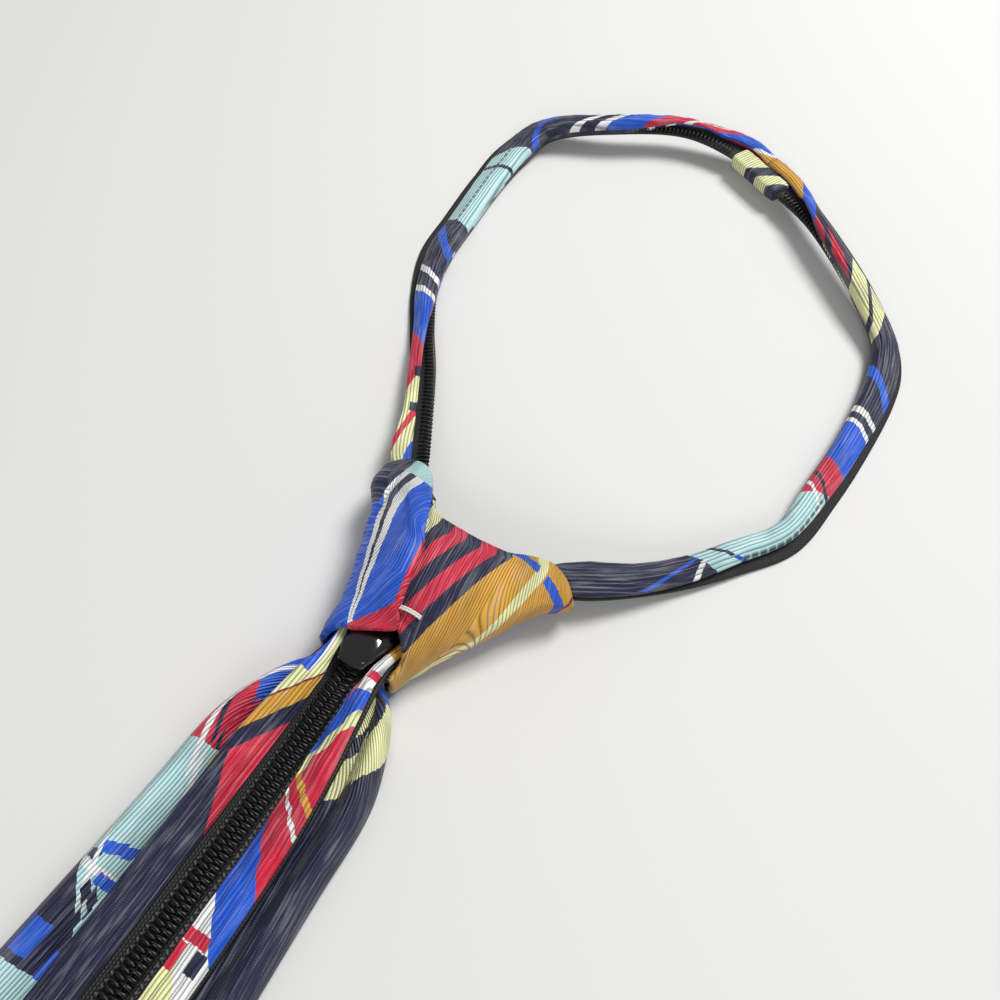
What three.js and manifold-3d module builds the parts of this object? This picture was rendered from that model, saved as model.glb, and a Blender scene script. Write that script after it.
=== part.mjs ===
// A zipper tie lying face down: knot, blade, and a neck band made of two zip halves edged with cloth.
// Millimetres, +Z up, +Y from the blade's tip towards the neck loop, +X to the right seen from the back.
import * as THREE from "three";
import Module from "manifold-3d";
import { mergeVertices } from "three/addons/utils/BufferGeometryUtils.js";

// Clearance between pieces that touch
const gap = 0.3;

// Blade
const bladeLength = 437;
const bladeWidth = 80;
const bladeNeck = 10.4;
const bladeFold = 8.5;
const bladeWall = 1.2;
const bladeSeam = 0.5;
const tipLength = 40;
const tipHem = 17;
const hemOpening = 90;

// Knot
const knotWidth = 54;
const knotMouth = 18.8;
const knotHeight = 35;
const knotDepth = 18;
const tipLift = 3;
const knotWall = 1.5;
const knotSeam = 0.4;
const mouthY = -17;
const tackUp = 0.33;

// Zip: a coil of fine pitch on two woven tapes
const tapeWidth = 12;
const tapeThick = 0.7;
const tapeHinge = 4.3;
const hingeRound = 1;
const coilWidth = 2.1;
const coilHeight = 1.5;
const tailLength = 158;

// Cloth strip sewn on each tape
const stripWidth = 7.6;
const stripThick = 2.2;

// Neck loop, measured across and along the band's middle line
const loopWidth = 127.2;
const loopLength = 150;
const loopRise = 4.3;

// Slider
const sliderLength = 10.5;
const sliderPlate = 1.2;
const sliderFlange = 0.8;
const sliderSpread = 1.9;
const postWidth = 1.6;
const postLength = 2.2;
const sliderDome = 1.1;
const sliderDrop = 3.2;

// Small pieces
const tackLength = 4.2;
const tackWidth = 1.3;
const tackThick = 0.7;
const tabLength = 18;
const tabWidth = 6.3;
const tabWall = 1.2;
const stopLength = 4;
const stopWall = 0.9;

// Reads a named column of a table at a place, on a smooth curve through the rows.
function column(rows, by, name, at) {
  const last = rows.length - 1;
  const rising = rows[last][by] > rows[0][by];
  let i = 0;
  while (i < last - 1 && (rising ? at > rows[i + 1][by] : at < rows[i + 1][by])) {
    i += 1;
  }
  const slope = (k) => {
    const a = rows[Math.max(k - 1, 0)];
    const b = rows[Math.min(k + 1, last)];
    return (b[name] - a[name]) / (b[by] - a[by]);
  };
  const step = rows[i + 1][by] - rows[i][by];
  const t = THREE.MathUtils.clamp((at - rows[i][by]) / step, 0, 1);
  const t2 = t * t;
  const t3 = t2 * t;
  return (
    (2 * t3 - 3 * t2 + 1) * rows[i][name] +
    (t3 - 2 * t2 + t) * step * slope(i) +
    (3 * t2 - 2 * t3) * rows[i + 1][name] +
    (t3 - t2) * step * slope(i + 1)
  );
}

// Turns a list of triangles into a geometry whose faces point outwards.
function outwards(points, triangles) {
  let volume = 0;
  for (const [a, b, c] of triangles) {
    volume += points[a].dot(points[b].clone().cross(points[c]));
  }
  const index = triangles.flatMap(([a, b, c]) => (volume < 0 ? [a, c, b] : [a, b, c]));
  const geometry = new THREE.BufferGeometry().setFromPoints(points);
  geometry.setIndex(index);
  return geometry;
}

// Joins rings of points into a closed body with flat ends.
function loft(rings) {
  const n = rings[0].length;
  const points = rings.flat();
  const triangles = [];
  for (let r = 0; r < rings.length - 1; r += 1) {
    for (let i = 0; i < n; i += 1) {
      const a = r * n + i;
      const b = r * n + ((i + 1) % n);
      triangles.push([a, b, b + n], [a, b + n, a + n]);
    }
  }
  const end = (rings.length - 1) * n;
  for (let i = 1; i < n - 1; i += 1) {
    triangles.push([0, i + 1, i], [end, end + i, end + i + 1]);
  }
  return outwards(points, triangles);
}

// Joins sections of a cloth wall, each an outer and an inner line of equally many points, into a closed body.
function loftWall(sections) {
  const n = sections[0].outer.length;
  const points = sections.flatMap(({ outer, inner }) => [...outer, ...inner]);
  const triangles = [];
  const quad = (a, b, c, d) => triangles.push([a, b, c], [a, c, d]);
  const last = sections.length - 1;
  for (let r = 0; r < last; r += 1) {
    const o = r * 2 * n;
    const p = o + 2 * n;
    for (let i = 0; i < n - 1; i += 1) {
      quad(o + i, o + i + 1, p + i + 1, p + i);
      quad(o + n + i + 1, o + n + i, p + n + i, p + n + i + 1);
    }
    quad(o, p, p + n, o + n);
    quad(o + n - 1, o + 2 * n - 1, p + 2 * n - 1, p + n - 1);
  }
  for (let i = 0; i < n - 1; i += 1) {
    const e = last * 2 * n;
    quad(i, n + i, n + i + 1, i + 1);
    quad(e + i, e + i + 1, e + n + i + 1, e + n + i);
  }
  return outwards(points, triangles);
}

const v3 = (x, y, z) => new THREE.Vector3(x, y, z);

// Blade: down is a share of its length and wide a share from the neck's width to the full width; edge is the
// height of the rolled folds and valley of the back between them, shares of bladeFold; lift raises the front.
const bladeRows = [
  { down: -0.03, wide: 0, edge: 0.6, valley: 0.6, lift: 0.27 },
  { down: 0.0, wide: 0.02, edge: 0.62, valley: 0.6, lift: 0.27 },
  { down: 0.01, wide: 0.16, edge: 0.76, valley: 0.59, lift: 0.14 },
  { down: 0.026, wide: 0.28, edge: 0.96, valley: 0.56, lift: 0.03 },
  { down: 0.052, wide: 0.395, edge: 1.0, valley: 0.43, lift: 0 },
  { down: 0.092, wide: 0.425, edge: 0.95, valley: 0.34, lift: 0 },
  { down: 0.18, wide: 0.495, edge: 0.86, valley: 0.33, lift: 0 },
  { down: 0.34, wide: 0.63, edge: 0.7, valley: 0.33, lift: 0 },
  { down: 0.42, wide: 0.7, edge: 0.64, valley: 0.44, lift: 0 },
  { down: 0.65, wide: 0.86, edge: 0.6, valley: 0.5, lift: 0 },
  { down: 0.9, wide: 1.0, edge: 0.56, valley: 0.48, lift: 0 },
  { down: 1.0, wide: 1.05, edge: 0.46, valley: 0.44, lift: 0 },
];

// Half of the blade's section from the back seam to the middle of the front: out is a share of the half
// width, rise a share of the height from the front up to the fold, and back a share of the valley's depth.
const foldPoints = [
  { out: 0, back: 1, rise: 1 },
  { out: 0.3, back: 1, rise: 1 },
  { out: 0.6, back: 1, rise: 1 },
  { out: 0.7, back: 0.5, rise: 1 },
  { out: 0.79, back: 0.1, rise: 1 },
  { out: 0.88, back: 0, rise: 0.97 },
  { out: 0.96, back: 0, rise: 0.76 },
  { out: 1, back: 0, rise: 0.46 },
  { out: 0.97, back: 0, rise: 0.17 },
  { out: 0.9, back: 0, rise: 0 },
  { out: 0.5, back: 0, rise: 0 },
  { out: 0, back: 0, rise: 0 },
];

function bladeHalfWidth(down) {
  const left = (1 - down) * bladeLength;
  const share = column(bladeRows, "down", "wide", down);
  const body = (bladeNeck + share * (bladeWidth - bladeNeck)) / 2;
  return left < tipLength ? Math.min(body, (left / tipLength) * (bladeWidth / 2) + bladeWall) : body;
}

function seamHalfGap(down, half) {
  const left = (1 - down) * bladeLength;
  const opened = ((hemOpening - left) / (hemOpening - tipLength)) * (bladeWidth / 2 - tipHem);
  const hemmed = half - tipHem;
  return Math.max(bladeSeam / 2, Math.min(opened, hemmed));
}

function bladeLine(down, inset) {
  const full = bladeHalfWidth(down);
  const half = Math.max(full - inset, bladeWall / 4);
  const seam = Math.min(seamHalfGap(down, full), half * 0.8);
  const front = Math.max(column(bladeRows, "down", "lift", down), 0) * bladeFold + inset;
  const edge = column(bladeRows, "down", "edge", down) * bladeFold - inset;
  const valley = column(bladeRows, "down", "valley", down) * bladeFold - inset;
  const y = mouthY - down * bladeLength + (down > 0.99 ? inset : 0);
  const side = foldPoints.map(({ out, back, rise }) => {
    const onBack = rise === 1;
    const x = onBack ? seam + out * (half - seam) : out * half;
    const z = onBack ? edge + back * (valley - edge) : front + rise * (edge - front);
    return v3(x, y, z);
  });
  const other = side.slice(0, -1).map((p) => v3(-p.x, p.y, p.z));
  return [...side, ...other.reverse()];
}

function makeBlade() {
  const stations = [-0.03, -0.015, 0, 0.01, 0.018, 0.026, 0.038, 0.052, 0.07, 0.092, 0.13, 0.18, 0.26, 0.34];
  stations.push(0.38, 0.42, 0.53, 0.65, 0.74, 1 - hemOpening / bladeLength, 0.85, 0.88);
  const tip = 1 - tipLength / bladeLength;
  for (let i = 0; i <= 8; i += 1) {
    stations.push(tip + (1 - tip) * (i / 8));
  }
  const sections = stations.map((down) => ({
    outer: bladeLine(down, 0),
    inner: bladeLine(down, bladeWall),
  }));
  return loftWall(sections);
}

// Knot, from its mouth (up 0) to its rim (up 1): wide is a share from the mouth's width to the knot's width,
// middle a share of the knot's width, deep a share of its depth. seam is the left wing's edge on the back and
// open how far the right wing's edge is from it, both shares of the half width.
const knotRows = [
  { up: 0, wide: 0, middle: -0.005, deep: 0.8, seam: -0.97, open: 1.95 },
  { up: 0.1, wide: 0.05, middle: 0.001, deep: 0.83, seam: -0.3, open: 1.2 },
  { up: 0.16, wide: 0.09, middle: 0.011, deep: 0.85, seam: 0.1, open: 0.52 },
  { up: 0.22, wide: 0.13, middle: 0.018, deep: 0.87, seam: 0.38, open: 0 },
  { up: 0.33, wide: 0.225, middle: 0.028, deep: 0.93, seam: 0.16, open: 0 },
  { up: 0.62, wide: 0.52, middle: 0.046, deep: 1, seam: -0.085, open: 0 },
  { up: 0.74, wide: 0.64, middle: 0.048, deep: 0.98, seam: -0.135, open: 0 },
  { up: 0.85, wide: 0.81, middle: 0.038, deep: 0.93, seam: -0.19, open: 0 },
  { up: 1, wide: 1, middle: 0.076, deep: 0.76, seam: -0.37, open: 0 },
];

// The rim's height over the knot's width: a tall left wing, a dip for the neck and a lower right wing.
const rimRows = [
  { across: -1, rise: 0.15 },
  { across: -0.82, rise: 0.235 },
  { across: -0.6, rise: 0.215 },
  { across: -0.36, rise: 0 },
  { across: -0.1, rise: -0.045 },
  { across: 0.36, rise: -0.03 },
  { across: 0.55, rise: 0.03 },
  { across: 0.72, rise: 0.06 },
  { across: 0.88, rise: 0.02 },
  { across: 1, rise: -0.06 },
];
const roundness = 2.4;
const frontRoundness = 4;
const wrapSteps = 34;

// The knot at a height: half its width, its middle, and how deep it is.
function knotSize(up) {
  const wide = knotMouth + column(knotRows, "up", "wide", up) * (knotWidth - knotMouth);
  return {
    half: wide / 2,
    middle: column(knotRows, "up", "middle", up) * knotWidth,
    deep: column(knotRows, "up", "deep", up) * knotDepth,
  };
}

// A point of the wrap: the back is round, the front lies flatter, and the tips lift off the table.
function wrapPoint(up, angle, inset) {
  const { half, middle, deep } = knotSize(up);
  const c = Math.cos(angle);
  const s = Math.sin(angle);
  const power = 2 / (s > 0 ? roundness : frontRoundness);
  const across = Math.sign(c) * Math.abs(c) ** power;
  const high = Math.sign(s) * Math.abs(s) ** power;
  const low = tipLift * up * across * across;
  const rim = column(rimRows, "across", "rise", across) * knotHeight;
  const x = middle + across * (half - inset);
  const y = mouthY + up * (knotHeight + rim);
  const z = (deep + low) / 2 + high * ((deep - low) / 2 - inset);
  return v3(x, y, z);
}

const angleOf = (share) => Math.acos(Math.sign(share) * Math.abs(share) ** (roundness / 2));

// The two wings' edges on the back at a height, as shares of the half width.
function seamShares(up) {
  const left = column(knotRows, "up", "seam", up);
  const open = Math.max(column(knotRows, "up", "open", up), knotSeam / knotSize(up).half);
  return [left, Math.min(left + open, 1)];
}

function wrapLine(up, inset) {
  const [left, right] = seamShares(up);
  const from = angleOf(left);
  const to = 2 * Math.PI + angleOf(right);
  const line = [];
  for (let i = 0; i <= wrapSteps; i += 1) {
    line.push(wrapPoint(up, from + ((to - from) * i) / wrapSteps, inset));
  }
  return line;
}

function makeKnotWrap() {
  const ups = [0, 0.05, 0.1, 0.16, 0.22, 0.27, 0.33, 0.47, 0.62, 0.74, 0.85, 0.93, 1];
  return loftWall(ups.map((up) => ({ outer: wrapLine(up, 0), inner: wrapLine(up, knotWall) })));
}

// Height of the blade's back along its middle, from the tail up into the knot.
function backHeight(y) {
  const down = Math.max((mouthY - y) / bladeLength, bladeRows[0].down);
  return column(bladeRows, "down", "valley", down) * bladeFold;
}

// The band through the tail and the slider, the same for both halves. down is where a row lies, a share of
// the tail's length below the mouth, and up a share of the slider's length above its lower end. part is how
// far the two halves have parted, a share of the slider's spread. clear is the tape's height over the blade,
// a share of the slider's under plate. bend tilts the tape's outer part, in degrees. tape and inset are
// shares of the tape's width, inset being where the strip begins, and wide is a share of the strip's width.
const chainHalf = gap / 2;
const tailEndY = mouthY - tailLength;
const sliderY = mouthY - sliderDrop;
const underSlider = sliderPlate + gap;
const tailRows = [
  { down: 1, part: 0, clear: 0, bend: 4, tape: 1, inset: 0.375, wide: 1 },
  { down: 0.6, part: 0, clear: 0, bend: 6, tape: 1, inset: 0.375, wide: 1 },
  { down: 0.27, part: 0, clear: 0.07, bend: 14, tape: 1, inset: 0.375, wide: 1 },
  { down: 0.14, part: 0, clear: 0.33, bend: 30, tape: 0.96, inset: 0.375, wide: 1 },
];
const sliderRows = [
  { up: -0.38, part: 0, clear: 0.8, bend: 40, tape: 0.8, inset: 0.41, wide: 0.68 },
  { up: 0, part: 0, clear: 1, bend: 36, tape: 0.7, inset: 0.46, wide: 0.38 },
  { up: 0.5, part: 0.1, clear: 1, bend: 26, tape: 0.61, inset: 0.46, wide: 0.27 },
  { up: 1, part: 0.9, clear: 1, bend: 20, tape: 0.57, inset: 0.41, wide: 0.26 },
];

// The band inside the knot: x is a share of the knot's width from its middle line, y a share of its height
// from the mouth, and lift the tape's height above the table as a share of the knot's depth.
const leftInKnot = [
  { x: -0.138, y: 0.501, lift: 0.37, roll: 0, bend: 20, tape: 0.54, inset: 0.31, wide: 0.36 },
  { x: -0.218, y: 0.866, lift: 0.35, roll: 0, bend: 16, tape: 0.54, inset: 0.3, wide: 0.4 },
  { x: -0.29, y: 1.149, lift: 0.34, roll: 0, bend: 14, tape: 0.55, inset: 0.3, wide: 0.42 },
  { x: -0.389, y: 1.371, lift: 0.29, roll: 0, bend: 2, tape: 0.72, inset: 0.32, wide: 0.64 },
];
const rightInKnot = [
  { x: 0.165, y: 0.523, lift: 0.38, roll: 0, bend: 14, tape: 0.56, inset: 0.28, wide: 0.42 },
  { x: 0.283, y: 0.801, lift: 0.37, roll: 0, bend: 8, tape: 0.52, inset: 0.18, wide: 0.52 },
  { x: 0.41, y: 0.99, lift: 0.35, roll: 0, bend: 4, tape: 0.52, inset: 0.08, wide: 0.66 },
  { x: 0.561, y: 1.149, lift: 0.3, roll: 0, bend: 2, tape: 0.63, inset: 0.02, wide: 0.98 },
];

// The band from the knot round the neck: x and y are shares of the loop's width and length, lift a share of
// the knot's depth, and roll tilts the whole band, in degrees.
const leftRows = [
  { x: -0.212, y: 0.134, lift: 0.2, roll: 4, bend: 0, tape: 0.56, inset: 0.3, wide: 0.42 },
  { x: -0.272, y: 0.218, lift: 0.1, roll: 4, bend: 0, tape: 0.52, inset: 0.27, wide: 0.42 },
  { x: -0.336, y: 0.295, lift: 0.03, roll: 2, bend: 0, tape: 0.5, inset: 0.1, wide: 0.5 },
  { x: -0.396, y: 0.376, lift: 0, roll: 0, bend: 0, tape: 0.58, inset: 0, wide: 0.72 },
  { x: -0.438, y: 0.468, lift: 0, roll: 0, bend: 0, tape: 0.76, inset: 0, wide: 0.9 },
  { x: -0.453, y: 0.563, lift: 0, roll: 0, bend: 0, tape: 0.78, inset: 0, wide: 0.9 },
  { x: -0.468, y: 0.687, lift: 0, roll: 0, bend: 0, tape: 0.82, inset: 0, wide: 1 },
  { x: -0.467, y: 0.775, lift: 0.05, roll: 0, bend: 0, tape: 0.86, inset: 0, wide: 1.12 },
  { x: -0.433, y: 0.85, lift: 0.17, roll: 3, bend: 0, tape: 0.68, inset: 0, wide: 0.98 },
  { x: -0.282, y: 0.923, lift: 0.34, roll: 6, bend: 0, tape: 0.52, inset: 0, wide: 0.68 },
  { x: -0.138, y: 0.984, lift: 0.34, roll: 6, bend: 0, tape: 0.52, inset: 0.13, wide: 0.46 },
];
const rightRows = [
  { x: 0.31, y: 0.055, lift: 0.17, roll: 0, bend: 0, tape: 0.5, inset: 0, wide: 0.8 },
  { x: 0.371, y: 0.109, lift: 0.09, roll: 0, bend: 0, tape: 0.5, inset: 0, wide: 0.7 },
  { x: 0.428, y: 0.172, lift: 0.03, roll: 0, bend: 0, tape: 0.54, inset: 0, wide: 0.6 },
  { x: 0.488, y: 0.246, lift: 0, roll: 0, bend: 0, tape: 0.56, inset: 0, wide: 0.56 },
  { x: 0.504, y: 0.352, lift: 0, roll: 0, bend: 0, tape: 0.65, inset: 0, wide: 0.78 },
  { x: 0.513, y: 0.457, lift: 0, roll: 0, bend: 0, tape: 0.65, inset: 0, wide: 0.8 },
  { x: 0.512, y: 0.572, lift: 0, roll: 0, bend: 0, tape: 0.68, inset: 0, wide: 0.9 },
  { x: 0.5, y: 0.638, lift: 0, roll: 0, bend: 0, tape: 0.68, inset: 0, wide: 0.92 },
  { x: 0.477, y: 0.684, lift: 0.06, roll: 4, bend: 0, tape: 0.55, inset: 0, wide: 0.78 },
  { x: 0.387, y: 0.763, lift: 0.2, roll: 12, bend: 0, tape: 0.5, inset: 0, wide: 0.66 },
  { x: 0.231, y: 0.877, lift: 0.28, roll: 8, bend: 0, tape: 0.5, inset: 0.08, wide: 0.5 },
];
const napeRow = { x: 0.063, y: 0.964, lift: 0.26, roll: 3, bend: 0, tape: 0.7, inset: 0.44, wide: 0.44 };
const napeAngle = -0.46;
const napeTurn = v3(Math.cos(napeAngle), Math.sin(napeAngle), 0);
const loopFoot = mouthY + knotHeight + loopRise;
const stepsPerRow = 2.6;

// One half of the band: its rows in order, with the band's middle line as a smooth curve through them.
function makeHalf(side, knotPart, loopRows) {
  const onBlade = (row, y) => {
    const middle = chainHalf + row.part * sliderSpread + (row.tape * tapeWidth) / 2;
    const z = backHeight(y) + gap + row.clear * underSlider;
    return { ...row, roll: 0, at: v3(side * middle, y, z) };
  };
  const tail = tailRows.map((row) => onBlade(row, mouthY - row.down * tailLength));
  const held = sliderRows.map((row) => onBlade(row, sliderY + row.up * sliderLength));
  const inKnot = knotPart.map((row) => {
    return { ...row, at: v3(row.x * knotWidth, mouthY + row.y * knotHeight, row.lift * knotDepth) };
  });
  const loop = [...loopRows, napeRow, napeRow].map((row) => {
    return { ...row, at: v3(row.x * loopWidth, loopFoot + row.y * loopLength, row.lift * knotDepth) };
  });
  const [approach, end] = loop.slice(-2);
  approach.at.addScaledVector(napeTurn, (side * tabLength) / 2);
  end.at.addScaledVector(napeTurn, side * chainHalf);
  const rows = [...tail, ...held, ...inKnot, ...loop].map((row, order) => ({ ...row, order }));
  const curve = new THREE.CatmullRomCurve3(rows.map((row) => row.at), false, "centripetal");
  return { side, rows, curve, steps: rows.length - 1 };
}

// A point of a half's section: across from the tooth edge outwards and up from the tape's underside, with the
// tape's outer part bent up about its hinge and the whole band rolled about its tooth edge.
function bandPoint(half, order, across, up) {
  const read = (name) => column(half.rows, "order", name, order);
  const t = order / half.steps;
  const middle = half.curve.getPoint(t);
  middle.z = Math.max(middle.z, 0);
  const along = half.curve.getTangent(t);
  const out = v3(along.y, -along.x, 0).multiplyScalar(half.side).normalize();
  const bend = THREE.MathUtils.degToRad(Math.max(read("bend"), 0));
  const roll = THREE.MathUtils.degToRad(Math.max(read("roll"), 0));
  const past = Math.max(across - tapeHinge, 0);
  const lean = bend * THREE.MathUtils.smoothstep(across, tapeHinge - hingeRound, tapeHinge + hingeRound);
  const flatX = Math.min(across, tapeHinge) + past * Math.cos(bend) - up * Math.sin(lean);
  const flatZ = past * Math.sin(bend) + up * Math.cos(lean);
  const x = flatX * Math.cos(roll) - flatZ * Math.sin(roll);
  const z = flatX * Math.sin(roll) + flatZ * Math.cos(roll);
  const shift = x - (read("tape") * tapeWidth) / 2;
  return middle.addScaledVector(out, shift).add(v3(0, 0, z));
}

// Sweeps a section along a half between two places given in rows, with some steps between two rows.
function sweep(half, from, to, section) {
  const rings = [];
  const steps = Math.max(Math.round((to - from) * stepsPerRow), 2);
  for (let i = 0; i <= steps; i += 1) {
    const order = from + ((to - from) * i) / steps;
    const read = (name) => column(half.rows, "order", name, order);
    rings.push(section(read).map(([across, up]) => bandPoint(half, order, across, up)));
  }
  return rings;
}

const seat = tapeThick + gap;

function tapeSection(read) {
  const width = read("tape") * tapeWidth;
  const hinge = Math.min(tapeHinge, width * 0.9);
  return [
    [0, 0],
    [hinge, 0],
    [width, 0],
    [width, tapeThick],
    [hinge, tapeThick],
    [0, tapeThick],
  ];
}

function coilSection() {
  const h = coilHeight;
  const w = coilWidth;
  return [
    [0.02 * w, seat + 0.1 * h],
    [0.5 * w, seat],
    [w, seat + 0.25 * h],
    [0.85 * w, seat + 0.85 * h],
    [0.3 * w, seat + h],
    [0, seat + 0.6 * h],
  ];
}

// The strip lies on the tape, and where it covers the coil its inner edge rides over it.
const coverFade = 1.6;

function stripSection(read) {
  const inset = read("inset") * tapeWidth;
  const width = read("wide") * stripWidth;
  const reach = coilWidth + gap;
  const cover = 1 - THREE.MathUtils.smoothstep(inset, reach, reach + coverFade);
  const rise = cover * (coilHeight + gap);
  const profile = [
    [0, 0.45],
    [0.08, 0.05],
    [0.5, 0],
    [0.93, 0.05],
    [1, 0.45],
    [0.9, 0.9],
    [0.5, 1],
    [0.1, 0.9],
  ];
  return profile.map(([a, b]) => {
    const past = THREE.MathUtils.smoothstep(a * width + inset, reach, width + inset);
    const base = seat + rise * (1 - past);
    return [inset + a * width, base + b * stripThick];
  });
}

const halves = {
  left: makeHalf(-1, leftInKnot, leftRows),
  right: makeHalf(1, rightInKnot, rightRows),
};
const tabRows = 1;
const coilShort = 0.1;

function makeNapeTab() {
  const back = seat + tabWall;
  const under = -gap - tabWall;
  const c = 0.4 * tabWall;
  const corner = 0.08 * tabWall;
  const outer = [
    [tabWidth + under, back],
    [under + c, back],
    [under, back - c],
    [under, under + c],
    [under + c, under],
    [tabWidth + under, under],
  ];
  const inner = [
    [tabWidth + under, seat],
    [-gap + corner, seat],
    [-gap, seat - corner],
    [-gap, -gap + corner],
    [-gap + corner, -gap],
    [tabWidth + under, -gap],
  ];
  const sections = [];
  const add = (half, order) => {
    const line = (points) => points.map(([across, up]) => bandPoint(half, order, across, up));
    sections.push({ outer: line(outer), inner: line(inner) });
  };
  const last = halves.left.steps;
  [1, 0.66, 0.33, 0].forEach((k) => add(halves.left, last - k * tabRows));
  [0.33, 0.66, 1].forEach((k) => add(halves.right, last - k * tabRows));
  return loftWall(sections);
}

const wasm = await Module();
wasm.setup();

function solid(geometry) {
  const plain = geometry.clone();
  plain.deleteAttribute("normal");
  plain.deleteAttribute("uv");
  const merged = mergeVertices(plain, 1e-4);
  const mesh = new wasm.Mesh({
    numProp: 3,
    vertProperties: merged.attributes.position.array,
    triVerts: new Uint32Array(merged.index.array),
  });
  return new wasm.Manifold(mesh);
}

function geometryOf(manifold) {
  const mesh = manifold.getMesh();
  const geometry = new THREE.BufferGeometry();
  geometry.setAttribute("position", new THREE.BufferAttribute(mesh.vertProperties, 3));
  geometry.setIndex(new THREE.BufferAttribute(mesh.triVerts, 1));
  return geometry;
}

// Where the slider's inner flanks turn outwards, as shares of its spread and of its length
const partSpread = 0.35;
const partAt = 0.45;

// A plate whose width grows from the chain's end to the split end, between two heights.
function slab(rear, head, from, to, low, high, bevel) {
  const round = 0.7 * Math.min(rear, 0.3 * sliderLength);
  const shape = new THREE.Shape();
  shape.moveTo(-rear + round, from);
  shape.lineTo(rear - round, from);
  shape.quadraticCurveTo(rear, from, rear, from + round);
  shape.lineTo(head, to - round);
  shape.lineTo(head - round * 0.5, to);
  shape.lineTo(-head + round * 0.5, to);
  shape.lineTo(-head, to - round);
  shape.lineTo(-rear, from + round);
  shape.quadraticCurveTo(-rear, from, -rear + round, from);
  const geometry = new THREE.ExtrudeGeometry(shape, {
    depth: high - low - 2 * bevel,
    bevelEnabled: bevel > 0,
    bevelThickness: bevel,
    bevelSize: bevel * 0.8,
    bevelOffset: -bevel * 0.8,
    bevelSegments: 2,
    curveSegments: 4,
  });
  return geometry.translate(0, 0, low + bevel);
}

// The room for the coils inside the slider: its flanks part slowly at first and then faster.
function channelOutline(inner, over) {
  const grow = (sliderSpread * over) / sliderLength;
  const flank = [
    [inner - grow, -over],
    [inner, 0],
    [inner + sliderSpread * partSpread, sliderLength * partAt],
    [inner + sliderSpread, sliderLength],
    [inner + sliderSpread + grow, sliderLength + over],
  ];
  const other = flank.map(([x, y]) => [-x, y]).reverse();
  return new THREE.Shape([...flank, ...other].map(([x, y]) => new THREE.Vector2(x, y)));
}

// Slider: two plates joined by a post, with flanges that hold the coils and slots for the tapes.
function makeSlider() {
  const channelTop = seat + coilHeight + gap;
  const inner = chainHalf + coilWidth + gap;
  const rear = inner + sliderFlange;
  const head = rear + sliderSpread;
  const over = sliderFlange;
  const top = channelTop + sliderPlate + sliderDome;
  const body = solid(slab(rear, head, 0, sliderLength, -gap - sliderPlate, top, sliderDome));
  const depth = channelTop + gap;
  const channel = new THREE.ExtrudeGeometry(channelOutline(inner, over), { depth, bevelEnabled: false });
  channel.translate(0, 0, -gap);
  const slot = new THREE.BoxGeometry(4 * head, sliderLength + 2 * over, seat + gap);
  slot.translate(0, sliderLength / 2, (seat - gap) / 2);
  const post = new THREE.BoxGeometry(postWidth, postLength, depth + gap);
  post.translate(0, sliderLength - postLength / 2, depth / 2 - gap);
  const made = body.subtract(solid(channel)).subtract(solid(slot)).add(solid(post));
  return geometryOf(made).translate(0, sliderY, backHeight(sliderY) + gap + underSlider);
}

// The tack's middle stands a little to the right of the seam, as a share of its length.
const tackShift = 0.14;

// Bar tack: lies on the knot's back across the seam, sloped as the cloth is.
function makeBarTack() {
  const { half, middle, deep } = knotSize(tackUp);
  const height = (x) => {
    const share = Math.abs((x - middle) / half);
    return (deep / 2) * (1 + (1 - share ** roundness) ** (1 / roundness));
  };
  const seam = middle + half * seamShares(tackUp)[1];
  const x = seam + tackShift * tackLength;
  const left = height(x - tackLength / 2);
  const right = height(x + tackLength / 2);
  const bar = new THREE.CapsuleGeometry(tackThick / 2, tackLength - tackThick, 3, 10);
  bar.rotateZ(Math.PI / 2).scale(1, tackWidth / tackThick, 1);
  bar.rotateY(Math.atan2(left - right, tackLength));
  const rest = Math.max((left + right) / 2, height(x)) + tackThick / 2;
  return bar.translate(x, mouthY + tackUp * knotHeight, rest + 1.5 * gap);
}

function makeBottomStop() {
  const width = 2 * (coilWidth + chainHalf) + stopWall;
  const block = new THREE.BoxGeometry(width, stopLength, coilHeight + stopWall);
  const low = backHeight(tailEndY) + gap + seat;
  return block.translate(0, tailEndY + stopLength / 2 + gap, low + (coilHeight + stopWall) / 2);
}

function finish(color, roughness, metalness = 0) {
  return new THREE.MeshStandardMaterial({ color, roughness, metalness });
}

const tie = new THREE.Group();

function add(name, geometry, material) {
  const mesh = new THREE.Mesh(geometry, material);
  mesh.name = name;
  tie.add(mesh);
  return mesh;
}

add("blade", makeBlade(), finish(0x1e2340, 0.55));
add("knot_wrap", makeKnotWrap(), finish(0x1c4fb8, 0.5));
add("bar_tack", makeBarTack(), finish(0xf2efe8, 0.7));
add("slider", makeSlider(), finish(0x0a0a0b, 0.18));
add("bottom_stop", makeBottomStop(), finish(0x0c0c0d, 0.3));
for (const [name, half] of Object.entries(halves)) {
  const end = half.steps;
  const coilStart = (stopLength + 2 * gap) / ((tailRows[0].down - tailRows[1].down) * tailLength);
  add(`zip_tape_${name}`, loft(sweep(half, 0, end, tapeSection)), finish(0x0d0d0f, 0.85));
  const coilEnd = end - tabRows - coilShort;
  add(`zip_coil_${name}`, loft(sweep(half, coilStart, coilEnd, coilSection)), finish(0x0b0b0c, 0.4));
  add(`strip_${name}`, loft(sweep(half, 0, end, stripSection)), finish(0xb8243a, 0.5));
}
add("nape_tab", makeNapeTab(), finish(0xd9dca0, 0.55));

// The origin is on the table under the middle of the tie.
const bounds = new THREE.Box3().setFromObject(tie);
const centre = bounds.getCenter(new THREE.Vector3());
tie.position.set(-centre.x, -centre.y, -bounds.min.z);
const root = new THREE.Group();
root.add(tie);

export default root;
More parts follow.
